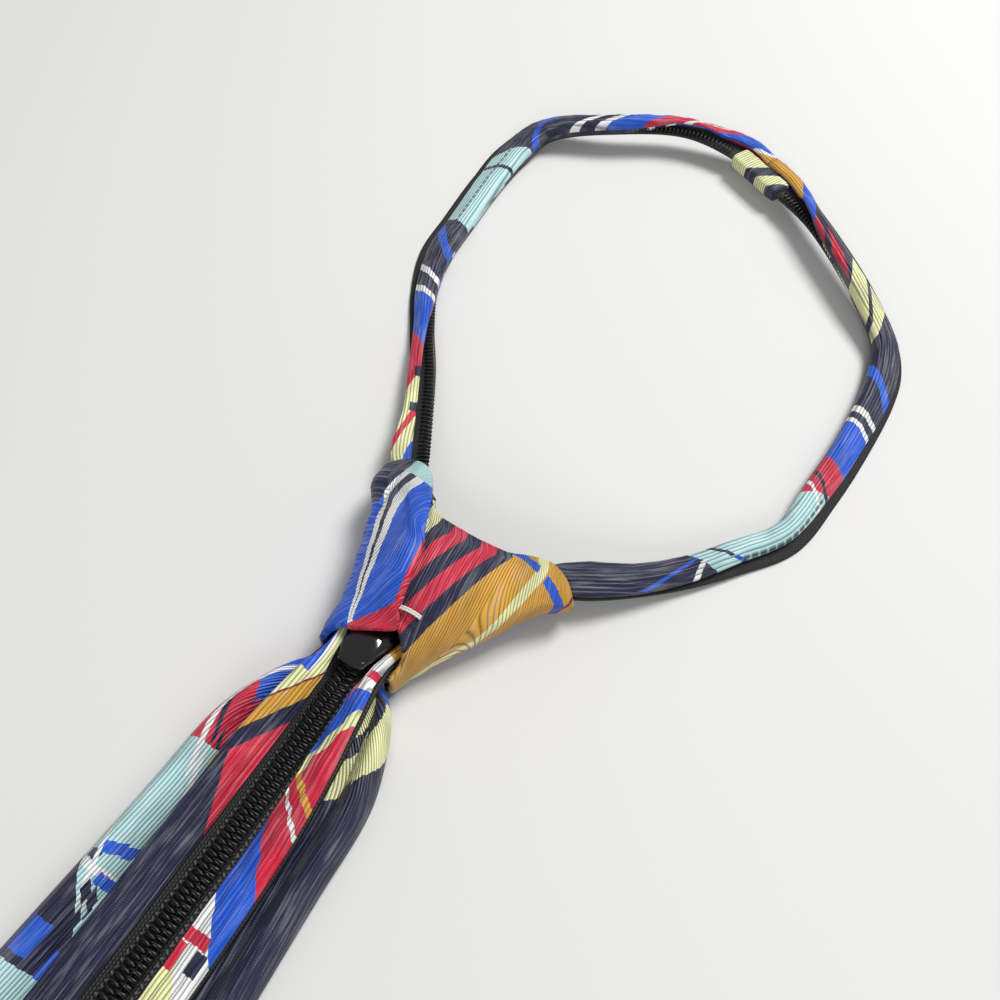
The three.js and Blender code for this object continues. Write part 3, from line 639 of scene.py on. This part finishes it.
def sewing_thread(name, color, dark):
    finish = Finish(name)
    u, v = finish.cloth()
    twist = (v / TWIST_RUN + u / TWIST_ROUND).wave() * 0.5 + 0.5
    shade = finish.mix(twist * 0.8, dark, color)
    return finish.shade(Base_Color=shade, Roughness=0.6, Normal=finish.bump(twist, TWIST_RELIEF * MM))


# Charts of the plaid, in mm along and across each piece of cloth

STRIP_PLAID = {
    "left": {"ground": NAVY, "seams": [(0.1, 292, 325)], "marks": [
        (123.6, 2.2, RED), (134.8, -1.9, NAVY), (141.3, -2.0, GOLD), (147.8, -1.9, DARK_RED),
        (148.6, -1.9, CREAM),
        (150, 175, 0, 0.9, 6, BLUE), (150.5, 160, 0, 0.2, 0.9, WHITE), (164, 0, BLUE),
        (206, -2.9, CREAM), (215.5, -2.9, RED), (220.4, -3.2, CREAM), (221.5, 224.5, 0, -2.4, 0.1, NAVY),
        (232.1, -2.2, RED), (233.5, 237, 0, -2.4, -0.1, NAVY), (246.9, 2.1, BLUE),
        (262.7, 0.96, WHITE), (264.8, 0.95, NAVY), (269.6, 1.07, WHITE), (271.8, 1.07, NAVY),
        (281.6, 286, 1.6, -6, 6, BLUE), (292, 0.25, AQUA), (316.4, 317.7, -0.3, -6, 6, NAVY),
        (325.4, -1, NAVY), (336.4, 339.8, 1.5, -6, 6, BLUE), (340, 344, 0, 0.5, 6, BLUE),
        (355, 2.3, WHITE), (357.7, 2.3, NAVY), (361.8, 2.3, WHITE), (365, 2.4, BLUE),
        (377, 3.5, RED), (388.4, 390.7, 4.2, -6, 6, WHITE), (396.3, 3, BLUE), (405.6, 2, WHITE), (408, 2, GOLD),
    ]},
    "right": {"ground": CREAM, "seams": [(2, 244, 270)], "marks": [
        (94, -1.4, WHITE), (100.3, 102.6, 0, -4, 2, RED), (95, 100, 0, -4, -2, RED), (96, 100, 0, 0.5, 3, NAVY),
        (104.3, -1.43, BLUE), (117.9, -1.7, RED), (130.5, 132.2, -0.73, -6, 6, GOLD),
        (126.4, 127.6, -0.9, -6, 6, WHITE), (139.5, 1.9, CREAM), (143.4, 1.9, BLUE), (152.5, 0, WHITE),
        (155.2, 157, 0, 0, 1.6, RED), (154, 162, 3, -1.6, -0.8, RED), (162, 0, GOLD), (170, 0, NAVY),
        (229.2, 231.4, -3.4, -2.4, 3, BLUE), (235.1, 1.08, AQUA), (234.4, 236, -1, 0, 3.4, WHITE),
        (240.4, 241.6, 1.3, -6, 1, NAVY), (240.2, 241.6, 1.8, 1.2, 4, BLUE), (270.4, 0.63, RED),
        (269.3, 270.3, -0.9, -6, 6, WHITE), (272.5, 273.8, -0.85, -6, 6, NAVY), (280, -0.4, BLUE),
        (292.5, -0.45, WHITE), (294, -0.45, NAVY), (296.4, -0.4, WHITE), (298.2, -0.45, NAVY),
        (306.1, 310, -1.35, -6, 6, BLUE), (328.3, 1.5, CREAM), (334.6, 2.5, NAVY), (337, 2.5, CREAM),
        (346.5, 1.95, NAVY), (367, 376.5, 4.5, -3.2, -1.2, RED), (352.9, 362.9, 4.5, -2.1, -0.3, RED),
        (369, 2, BLUE), (378, 2, GOLD),
    ]},
}
BLADE_PLAID = {"ground": BLUE, "marks": [
    (-6.3, 0.84, RED), (-23.7, -22.1, 1.65, 20, 45, NAVY), (33.7, -0.15, AQUA),
    (-47.5, -44.5, 2.6, 20, 45, WHITE),
    (28.9, 32, 0, 31.5, 36, CREAM), (64, 66.5, -0.4, 28, 40, BLUE), (54.8, 56.6, 0, 27, 29.6, NAVY),
    (56.8, 58.4, 0, 20, 45, WHITE), (-15, -13, 2.4, 26, 45, WHITE), (57.4, 59.6, 0, 31.8, 36, BLUE),
    (29.7, 1.05, NAVY), (34.3, 36.7, 0.8, 31, 36, NAVY), (68.5, 75, 0, 28, 32.5, BLUE),
    (71.2, 77, 0, 36.2, 45, BLUE),
    (76.6, 0, AQUA), (-10, 400, 0, -90, 0, CREAM), (-8.3, -6.1, -0.7, -34, -12, NAVY), (1, 4, 0, -14, 0, BLUE),
    (0, 400, -0.7, -90, 0, NAVY), (96, 0.9, NAVY), (118, 0.9, BLUE), (136, 0.9, RED),
    (140, 142, 0.9, -90, 90, WHITE),
    (148, 0.9, NAVY), (170, -0.9, AQUA), (176, 178, -0.9, -90, 90, NAVY), (200, -0.9, NAVY), (225, 0.9, GOLD),
    (240, 0.9, BLUE), (252, 254, 0.9, -90, 90, WHITE), (262, 0.9, NAVY), (300, -0.9, CREAM), (312, -0.9, RED),
    (330, -0.9, NAVY), (360, 0.9, AQUA), (380, 0.9, NAVY), (400, -0.9, BLUE), (420, -0.9, RED),
]}
TAB_PLAID = {"ground": CREAM, "marks": [(8, 0.6, NAVY), (12.2, 0.6, CREAM), (16.5, 0.6, NAVY)]}
KNOT_PLAID = {
    "left_wing": {"ground": RED, "marks": [
        (-4.6, 5.35, BLUE), (22.8, 2.7, WHITE), (-60, -14, 0, -90, -13.6, WHITE), (22.7, 2.33, NAVY),
        (-60, -14, 0, -90, -16, NAVY), (21.7, 2.08, WHITE), (-60, -14, 0, -90, -17.8, WHITE), (21.9, 1.89, BLUE),
        (-60, -14, 0, -90, -19.8, BLUE), (-60, -13, 0, -28, -19.8, NAVY), (-60, -22.6, 0, -20, -8, AQUA),
        (8.45, -1.18, RED),
    ]},
    "knot_front": {"ground": NAVY, "marks": [(-30, 0.4, BLUE), (-4, 0.4, NAVY), (4, 0.4, AQUA), (9, 0.4, NAVY)]},
    "right_wing": {"ground": CREAM, "marks": [
        (-19.3, -3.7, NAVY), (-6.5, -3.7, RED), (7, -3.7, NAVY), (19.8, -3.7, RED), (33.2, -3.7, NAVY),
        (45, -3.7, GOLD), (-60, 3, 0, 22.3, 24.6, CREAM), (46.5, 50.5, -2, 15, 25, CREAM),
        (-24, -21.9, 0.25, 17, 22.8, BLUE),
        (-26.4, -24.2, 0.36, 25, 40, BLUE), (-60, -10, 0, 33.4, 34.2, DARK_RED),
    ]},
}
HEM_LINE = (0.0, -8.45, 1.18)
CREASE_LINE = (-15.4, 15.0, -0.12)
TACK_ENDS = {"left": (3.5, -6.0, 17.2), "right": (8.1, -5.7, 16.9)}


# Pieces

def strip_ring(half, order):
    """The strip's section: a folded cloth strip with rolled edges, whose inner lip wraps the coil that it covers."""
    turn = np.linspace(0, 2 * math.pi, STRIP_RING, endpoint=False)
    c, s = np.cos(turn), np.sin(turn)
    a = 0.5 - 0.5 * np.sign(c) * np.abs(c) ** 0.75
    b = 0.5 - 0.5 * np.sign(s) * np.abs(s) ** 0.62
    inset = (half.read("inset", order) * TAPE_WIDTH)[:, None]
    width = (half.read("wide", order) * STRIP_WIDTH)[:, None]
    reach = COIL_WIDTH + GAP
    cover = 1 - smooth(inset, reach, reach + 1.6)
    rise = cover * (COIL_HEIGHT + GAP)
    base = SEAT + rise * (1 - smooth(a * width + inset, reach, width + inset))
    run = half.run_at(order)[:, None]
    lip = (1 - smooth(inset, 0.1, 1.2)) * (1 - smooth(a, 0.02, 0.12))
    tail = 1 - smooth(run, *PLEAT_FADE)
    pucker = PUCKER_HIGH * wave(run, PUCKER_RUN, 3 * a) + SWELL_HIGH * wave(run, SWELL_RUN, half.side)
    sway = 0.25 * wave(run, PLEAT_SWAY, half.side)
    pleat = tail * PLEAT_HIGH * np.cos(2 * math.pi * (PLEAT_COUNT * a + sway))
    top = smooth(b, 0.4, 1.0)
    across = inset + a * width - LIP_REACH * lip
    up = base + b * STRIP_THICK + top * (pucker + pleat) - lip * (1 - b) * LIP_DEEP * (base - 0.4)
    u = (a - 0.5) * width
    u = np.where(turn[None, :] < math.pi, 1.5 * width - a * width, u)
    u = np.concatenate([u, -0.5 * width], 1)
    return half.point(order[:, None], across, up), u


def make_strip(half):
    order = half.order_at(np.arange(0, half.length, STRIP_STEP))
    order[-1] = half.steps
    rings, across = strip_ring(half, order)
    faces, uvs = loft(rings, across, half.run_at(order))
    points = rings.reshape(-1, 3)
    faces, uvs = outward(points, faces, uvs)
    name = f"cloth_strip_{half.name}"
    piece = new_piece(name, points, faces, uvs, [f"strip_{half.name}"])
    piece.data.materials.append(plaid_twill(name, **STRIP_PLAID[half.name]))


def make_tape(half):
    order = half.order_at(np.arange(0, half.length, TAPE_STEP))
    order[-1] = half.steps
    width = (half.read("tape", order) * TAPE_WIDTH)[:, None]
    shares = np.concatenate([np.linspace(0, 1, TAPE_POINTS), np.linspace(1, 0, TAPE_POINTS)])[None, :]
    high = np.concatenate([np.zeros(TAPE_POINTS), np.full(TAPE_POINTS, TAPE_THICK)])[None, :]
    rings = half.point(order[:, None], shares * width, high + 0 * width)
    across = np.concatenate([shares[0] * TAPE_WIDTH, [0]])
    faces, uvs = loft(rings, across, half.run_at(order))
    points = rings.reshape(-1, 3)
    faces, uvs = outward(points, faces, uvs)
    piece = new_piece(f"woven_tape_{half.name}", points, faces, uvs, [f"zip_tape_{half.name}"])
    piece.data.materials.append(BLACK_TAPE)


def tube_rings(path, radius, sides):
    """Rings of points round a path, one ring a point; radius is a number or one value a point."""
    ahead = np.gradient(path, axis=0)
    ahead /= np.linalg.norm(ahead, axis=1, keepdims=True)
    guide = np.array((0.0, 0.0, 1.0))
    if abs(ahead[0] @ guide) > 0.9:
        guide = np.array((1.0, 0.0, 0.0))
    turn = 2 * math.pi * np.arange(sides) / sides
    rings = []
    for at, way, size in zip(path, ahead, np.broadcast_to(radius, len(path))):
        one = np.cross(way, guide)
        one /= np.linalg.norm(one)
        two = np.cross(way, one)
        rings.append(at + size * (np.cos(turn)[:, None] * one + np.sin(turn)[:, None] * two))
    return np.array(rings)


def make_coil(half):
    """Every tooth is a bent loop of monofilament, with its head turned to the other half."""
    start = STOP_LENGTH + 2 * GAP
    stop = half.run_at(half.steps - 1.1)
    count = int((stop - start) / COIL_PITCH)
    tooth = table("across high along", [
        (1.0, 0.12, -0.3), (0.55, 0.1, -0.24), (0.1, 0.16, -0.16), (-0.14, 0.4, -0.04), (-0.16, 0.62, 0.04),
        (0.02, 0.86, 0.14), (0.5, 0.9, 0.24), (0.95, 0.72, 0.32), (1.0, 0.3, 0.34),
    ])
    fine = curve_through(np.stack(list(tooth.values()), 1), np.linspace(0, 1, TOOTH_POINTS))
    points, faces = [], []
    for k in range(count):
        run = start + (k + (0.5 if half.side > 0 else 0)) * COIL_PITCH
        order = half.order_at(run + fine[:, 2] * COIL_PITCH * TOOTH_LEAN)
        path = half.point(order, fine[:, 0] * COIL_WIDTH, SEAT + fine[:, 1] * COIL_HEIGHT)
        rings = tube_rings(path, WIRE_RADIUS, WIRE_SIDES)
        body, _ = loft(rings, np.zeros(WIRE_SIDES + 1), np.zeros(len(path)))
        base = len(points) * len(path) * WIRE_SIDES
        faces += [[base + q for q in face] for face in body]
        points.append(rings.reshape(-1, 3))
    piece = new_piece(f"coil_teeth_{half.name}", np.concatenate(points), faces, None,
                      [f"zip_coil_{half.name}"])
    piece.data.materials.append(BLACK_NYLON)


def blade_line(down, inset, count):
    """Half sections of the blade from the back seam round the fold to the middle of the front."""
    full = blade_half_width(down)
    half = np.maximum(full - inset, BLADE_WALL / 4)
    left = (1 - down) * BLADE_LENGTH
    opened = (HEM_OPENING - left) / (HEM_OPENING - TIP_LENGTH) * (BLADE_WIDTH / 2 - TIP_HEM)
    seam = np.minimum(np.maximum(BLADE_SEAM / 2, np.minimum(opened, full - TIP_HEM)), half * 0.8)
    front = np.maximum(column(BLADE_ROWS, "down", "lift", down), 0) * BLADE_FOLD + inset
    edge = column(BLADE_ROWS, "down", "edge", down) * BLADE_FOLD - inset
    valley = column(BLADE_ROWS, "down", "valley", down) * BLADE_FOLD - inset
    y = MOUTH_Y - down * BLADE_LENGTH + np.where(down > 0.99, inset, 0)
    share = np.linspace(0, 1, count)
    keys = np.stack([FOLD_POINTS["out"], FOLD_POINTS["back"], FOLD_POINTS["rise"]], 1)
    out, back, rise = np.clip(curve_through(keys, share), 0, 1).T
    seam, half, front, edge, valley, y = (a[:, None] for a in (seam, half, front, edge, valley, y))
    on_back = smooth(share, 0.36, 0.5)[None, :]
    x_back = seam + out * (half - seam)
    x = x_back * (1 - on_back) + out * half * on_back
    z = front + rise * (edge - front) + back * (valley - edge)
    return np.stack([x, y + 0 * x, z], -1)


def make_blade():
    downs = np.concatenate([np.linspace(-0.03, 0.1, 60), np.linspace(0.103, 0.9, 200), np.linspace(0.904, 1, 40)])
    rings = []
    for inset in (0.0, BLADE_WALL):
        right = blade_line(downs, inset, BLADE_POINTS)
        left = right * np.array((-1, 1, 1))
        rings.append(np.concatenate([right, left[:, -2::-1]], 1))
    run = MOUTH_Y - rings[0][:, :, 1]
    rings = np.concatenate([rings[0], rings[1][:, ::-1]], 1)
    outer = rings[:, :2 * BLADE_POINTS - 1]
    step = np.linalg.norm(np.diff(outer, axis=1), axis=2)
    reach = np.concatenate([np.zeros((len(downs), 1)), np.cumsum(step, axis=1)], 1)
    reach -= reach[:, BLADE_POINTS - 1:BLADE_POINTS]
    across = np.concatenate([reach, reach[:, ::-1], reach[:, :1]], 1)
    along = np.concatenate([run, run[:, ::-1], run[:, :1]], 1)
    faces, uvs = loft(rings, across, along, wall=True)
    points = rings.reshape(-1, 3)
    faces, uvs = outward(points, faces, uvs)
    piece = new_piece("blade_cloth", points, faces, uvs, ["blade"])
    piece.data.materials.append(plaid_twill("blade_cloth", **BLADE_PLAID))


def knot_ribs(zone, u, y, seam, edge):
    """Where a point lies across the knot's ribs, which sweep up the left wing and run down the right one."""
    if zone == 0:
        share = np.clip((u - edge) / np.maximum(seam - edge, 1), 0, 1)
        low = np.interp(y, (MOUTH_Y, 0, KNOT_HEIGHT + MOUTH_Y), (1.2, 1.45, 3))
        high = np.interp(y, (MOUTH_Y, 0, KNOT_HEIGHT + MOUTH_Y), (2.1, 1.2, 1.1))
        rise = (seam - edge) * (low * share + (high - low) * share ** 2 / 2)
        return (y - rise) / 1.75
    if zone == 2:
        return u + 0.14 * y + 0.07 * np.maximum(u - 18, 0) * (y - 13)
    return u


def make_knot():
    """The cloth wrapped round the knot: the left wing's folded edge lies over the right wing."""
    turns = np.linspace(0, math.pi / 2, RIM_RINGS + 1)[1:]
    ups = np.concatenate([-0.02 * np.sin(turns[::-1]), np.linspace(0, 1, KNOT_RINGS), 1 + 0.022 * np.sin(turns)])
    roll = KNOT_WALL / 2 * np.concatenate([1 - np.cos(turns[::-1]), np.zeros(KNOT_RINGS), 1 - np.cos(turns)])
    at = np.clip(ups, 0, 1)
    half, middle = knot_half(at)
    left, right = seam_shares(at)
    over = smooth(at, 0.2, 0.3)
    start = angle_of(left)
    stop = 2 * math.pi + angle_of(np.clip(right - over * KNOT_TUCK / half, -0.96, 1))
    share = np.linspace(0, 1, KNOT_POINTS)[None, :]
    angle = start[:, None] + share * (stop - start)[:, None]
    base = wrap_point(ups[:, None], angle)
    step = np.linalg.norm(np.diff(base, axis=1), axis=2)
    reach = np.concatenate([np.zeros((len(ups), 1)), np.cumsum(step, axis=1)], 1)
    far = reach[:, -1:] - reach
    seam_x = (middle + left * half)[:, None]
    right_x = (middle + right * half)[:, None]
    lifted = WING_LIFT * (1 - smooth(reach, 0.3, 7.0)) * over[:, None]
    sunk = WING_SINK * (1 - smooth(far, KNOT_TUCK - 0.6, KNOT_TUCK + 1.6)) * over[:, None]
    near = 1 - np.clip(np.minimum(reach, far) / FOLD_RADIUS, 0, 1)
    fold = KNOT_WALL / 2 * (1 - np.sqrt(np.clip(1 - near ** 2, 0, 1)))
    x, y = base[..., 0], base[..., 1]
    zone = np.where(angle <= 1.2 * math.pi, 0, np.where(angle <= 1.8 * math.pi, 1, 2))
    hem = (y - HEM_LINE[1] - (x - HEM_LINE[0]) * HEM_LINE[2]) * (zone == 0)
    aside = x - CREASE_LINE[0] - (y - CREASE_LINE[1]) * CREASE_LINE[2]
    crease = np.exp(-(aside / CREASE_WIDE) ** 2) * (zone == 0) * smooth(y, 2.0, 9.0)
    ripple = wave(x + 0.8 * y, 7.5, 0.4) * (zone == 2) + wave(y - 0.6 * x, 8.0, 1.2) * (zone == 0)
    below = HEM_STEP * (1 - smooth(hem, -0.3, 0.3)) * (zone == 0)
    relief = lifted - sunk + RIPPLE_HIGH * ripple - below - CREASE_DEEP * crease
    inset_out = fold + roll[:, None]
    outer = wrap_point(ups[:, None], angle, inset_out - relief)
    inner = wrap_point(ups[:, None], angle, KNOT_WALL - inset_out - relief + 0.02)
    rings = np.concatenate([outer, inner[:, ::-1]], 1)
    u = np.where(zone == 0, seam_x - reach, right_x + far - over[:, None] * KNOT_TUCK)
    edge_x = (middle - half)[:, None] + 0 * u
    ribs = np.select([zone == 0, zone == 2], [knot_ribs(0, u, y, seam_x + 0 * u, edge_x),
                                               knot_ribs(2, u, y, seam_x, edge_x)], u)
    across = np.concatenate([u, u[:, ::-1], u[:, :1]], 1)
    along = np.concatenate([-y, -y[:, ::-1], -y[:, :1]], 1)
    twist = np.concatenate([ribs, ribs[:, ::-1], ribs[:, :1]], 1)
    count = 2 * share.shape[1]
    faces, uvs = loft(rings, across, along, wall=True)
    _, rib_uvs = loft(rings, twist, along, wall=True)
    points = rings.reshape(-1, 3)
    flat = np.concatenate([zone, zone[:, ::-1]], 1)
    zones = [int(flat[face[0] // count, face[0] % count]) for face in faces]
    whole = [[*a, b[0]] for a, b in zip(uvs, rib_uvs)]
    faces, whole = outward(points, faces, whole)
    whole = np.array(whole)
    piece = new_piece("knot_cloth", points, faces, whole[:, :2], ["knot_wrap"], zones, whole[:, 2])
    for name, plaid in KNOT_PLAID.items():
        piece.data.materials.append(plaid_twill(name, pitch=KNOT_RIB, **plaid))
    flat = (2.4 * KNOT_WIDTH * MM, (KNOT_HEIGHT + 8) * MM)


def make_tack():
    """Two thread bars side by side, sunk into the cloth at both ends."""
    points, faces, uvs = [], [], []
    first, last = np.array(TACK_ENDS["left"]), np.array(TACK_ENDS["right"])
    side = np.cross(last - first, (0, 0, 1))
    side /= np.linalg.norm(side)
    for shift, rise in ((-0.25, 0.0), (0.24, 0.05)):
        share = np.linspace(0, 1, THREAD_POINTS)
        bow = 0.8 * np.sin(math.pi * share) ** 0.5 - 0.7
        path = first + (last - first) * share[:, None] + side * shift
        path[:, 2] += bow + rise
        rings = tube_rings(path, THREAD_RADIUS + 0.03 * np.sin(share * 40), THREAD_SIDES)
        body, body_uvs = loft(rings, np.linspace(0, 1.9, THREAD_SIDES + 1), share * TACK_LENGTH)
        base = sum(len(p) for p in points)
        faces += [[base + q for q in face] for face in body]
        uvs += body_uvs
        points.append(rings.reshape(-1, 3))
    piece = new_piece("tack_thread", np.concatenate(points), faces, uvs, ["bar_tack"])
    piece.data.materials.append(sewing_thread("white_thread", rgb(242, 240, 234), rgb(186, 184, 178)))


def make_tab():
    """The small folded tab at the back of the neck, with soft round edges."""
    low, high = (np.array(corner - ORIGIN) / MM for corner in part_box("nape_tab"))
    turn = np.array((math.cos(NAPE_ANGLE), math.sin(NAPE_ANGLE), 0))
    side = np.array((-turn[1], turn[0], 0))
    middle = (low + high) / 2
    angle = np.linspace(0, 2 * math.pi, TAB_POINTS, endpoint=False)
    c, s = np.cos(angle), np.sin(angle)
    out = np.sign(c) * np.abs(c) ** 0.5
    high_share = np.sign(s) * np.abs(s) ** 0.42
    rings, rows = [], np.linspace(-0.5, 0.5, TAB_ROWS)
    for row in rows:
        end = 1 - 0.08 * abs(2 * row) ** 14
        swell = 0.07 * math.sin(row * 21) + 0.05 * math.sin(row * 47 + 1)
        at = middle + turn * row * TAB_LENGTH
        deep = (high[2] - low[2]) / 2
        ring = at + side * (out * TAB_WIDTH / 2 * end)[:, None]
        ring = ring + np.array((0, 0, 1)) * (high_share * (deep * end + swell * (high_share > 0)))[:, None]
        rings.append(ring)
    rings = np.array(rings)
    across = np.concatenate([out * TAB_WIDTH / 2, [TAB_WIDTH / 2]])
    faces, uvs = loft(rings, across, (rows + 0.5) * TAB_LENGTH)
    points = rings.reshape(-1, 3)
    faces, uvs = outward(points, faces, uvs)
    piece = new_piece("tab_cloth", points, faces, uvs, ["nape_tab"], None, np.array(uvs)[:, 1])
    piece.data.materials.append(plaid_twill("nape_tab", **TAB_PLAID))


def make_slider_cap():
    """The slider's domed top with its rounded nose, over the plate."""
    low, high = (np.array(corner - ORIGIN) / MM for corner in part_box("slider"))
    middle = (low + high) / 2
    half = (high - low) / 2
    rows = np.linspace(0, 1, CAP_ROWS)
    turn = np.linspace(0, 2 * math.pi, CAP_POINTS, endpoint=False)
    rings = []
    for row in rows:
        size = math.cos(row * math.pi / 2 * 0.97)
        across = np.sign(np.cos(turn)) * np.abs(np.cos(turn)) ** 0.8 * half[0] * 0.74 * size
        along = np.sign(np.sin(turn)) * np.abs(np.sin(turn)) ** 0.8 * half[1] * 0.8 * size
        high_at = high[2] - SLIDER_DOME * 0.25 + SLIDER_DOME * 0.8 * math.sin(row * math.pi / 2)
        rings.append(np.stack([middle[0] + across, middle[1] + along, 0 * turn + high_at], 1))
    rings = np.array(rings)
    faces, uvs = loft(rings, np.zeros(CAP_POINTS + 1), rows)
    points = rings.reshape(-1, 3)
    faces, uvs = outward(points, faces, uvs)
    piece = new_piece("slider_cap", points, faces, uvs)
    piece.data.materials.append(GLOSS)


def dress_node(node, material):
    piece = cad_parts[node]
    piece.data.materials.clear()
    piece.data.materials.append(material)


# Stage

CAMERA_PLACE = (65.3, -67.4, 190.5)
CAMERA_HEADING = (-0.531, 0.847, 0)
CAMERA_TILT = 57.7  # degrees down from level
FILM_WIDTH, LENS = 36, 34.956
FLOOR_HALF, ROOM_LIGHT = 6.0, 0.36
# Name, place and size in metres, power in watts
LAMPS = (("window", (0.25, 0.75, 0.9), 0.4, 13.0), ("fill", (0.45, -0.75, 0.6), 0.5, 4.5))


def make_camera():
    """The photograph's view: from above the table, looking along the tie and down."""
    camera = bpy.data.cameras.new("camera")
    camera.sensor_width = FILM_WIDTH
    camera.lens = LENS
    seat = bpy.data.objects.new("camera", camera)
    bpy.context.scene.collection.objects.link(seat)
    tilt = math.radians(CAMERA_TILT)
    heading = Vector(CAMERA_HEADING).normalized()
    way = heading * math.cos(tilt) + Vector((0, 0, -math.sin(tilt)))
    seat.location = Vector(CAMERA_PLACE) * MM + ORIGIN
    seat.rotation_euler = way.to_track_quat("-Z", "Y").to_euler()
    camera.clip_start = 0.005
    bpy.context.scene.camera = seat


def make_floor():
    mesh = bpy.data.meshes.new("floor")
    corners = [(x * FLOOR_HALF, y * FLOOR_HALF, 0) for x, y in ((-1, -1), (1, -1), (1, 1), (-1, 1))]
    mesh.from_pydata(corners, [], [(0, 1, 2, 3)])
    floor = bpy.data.objects.new("floor", mesh)
    bpy.context.scene.collection.objects.link(floor)
    finish = Finish("pale_floor")
    finish.shade(Base_Color=rgb(206, 205, 203), Roughness=0.9)
    mesh.materials.append(finish.material)


def make_lights():
    """One soft window of light from beyond the loop on the right, and a pale room round it."""
    world = bpy.data.worlds.new("studio")
    bpy.context.scene.world = world
    world.use_nodes = True
    world.node_tree.nodes["Background"].inputs[0].default_value = (0.95, 0.97, 1, 1)
    world.node_tree.nodes["Background"].inputs[1].default_value = ROOM_LIGHT
    for name, at, size, power in LAMPS:
        light = bpy.data.lights.new(name, "AREA")
        light.size = size
        light.energy = power
        lamp = bpy.data.objects.new(name, light)
        bpy.context.scene.collection.objects.link(lamp)
        lamp.location = at
        lamp.rotation_euler = (Vector((0, 0.1, 0)) - Vector(at)).to_track_quat("-Z", "Y").to_euler()


bpy.context.scene.view_settings.view_transform = "Standard"
BLACK_TAPE, BLACK_NYLON, GLOSS = black_tape(), black_nylon(), black_gloss()
make_camera()
make_floor()
make_lights()
make_blade()
make_knot()
for band_half in HALVES.values():
    make_strip(band_half)
    make_tape(band_half)
    make_coil(band_half)
dress_node("slider", GLOSS)
dress_node("bottom_stop", GLOSS)
make_slider_cap()
make_tack()
make_tab()
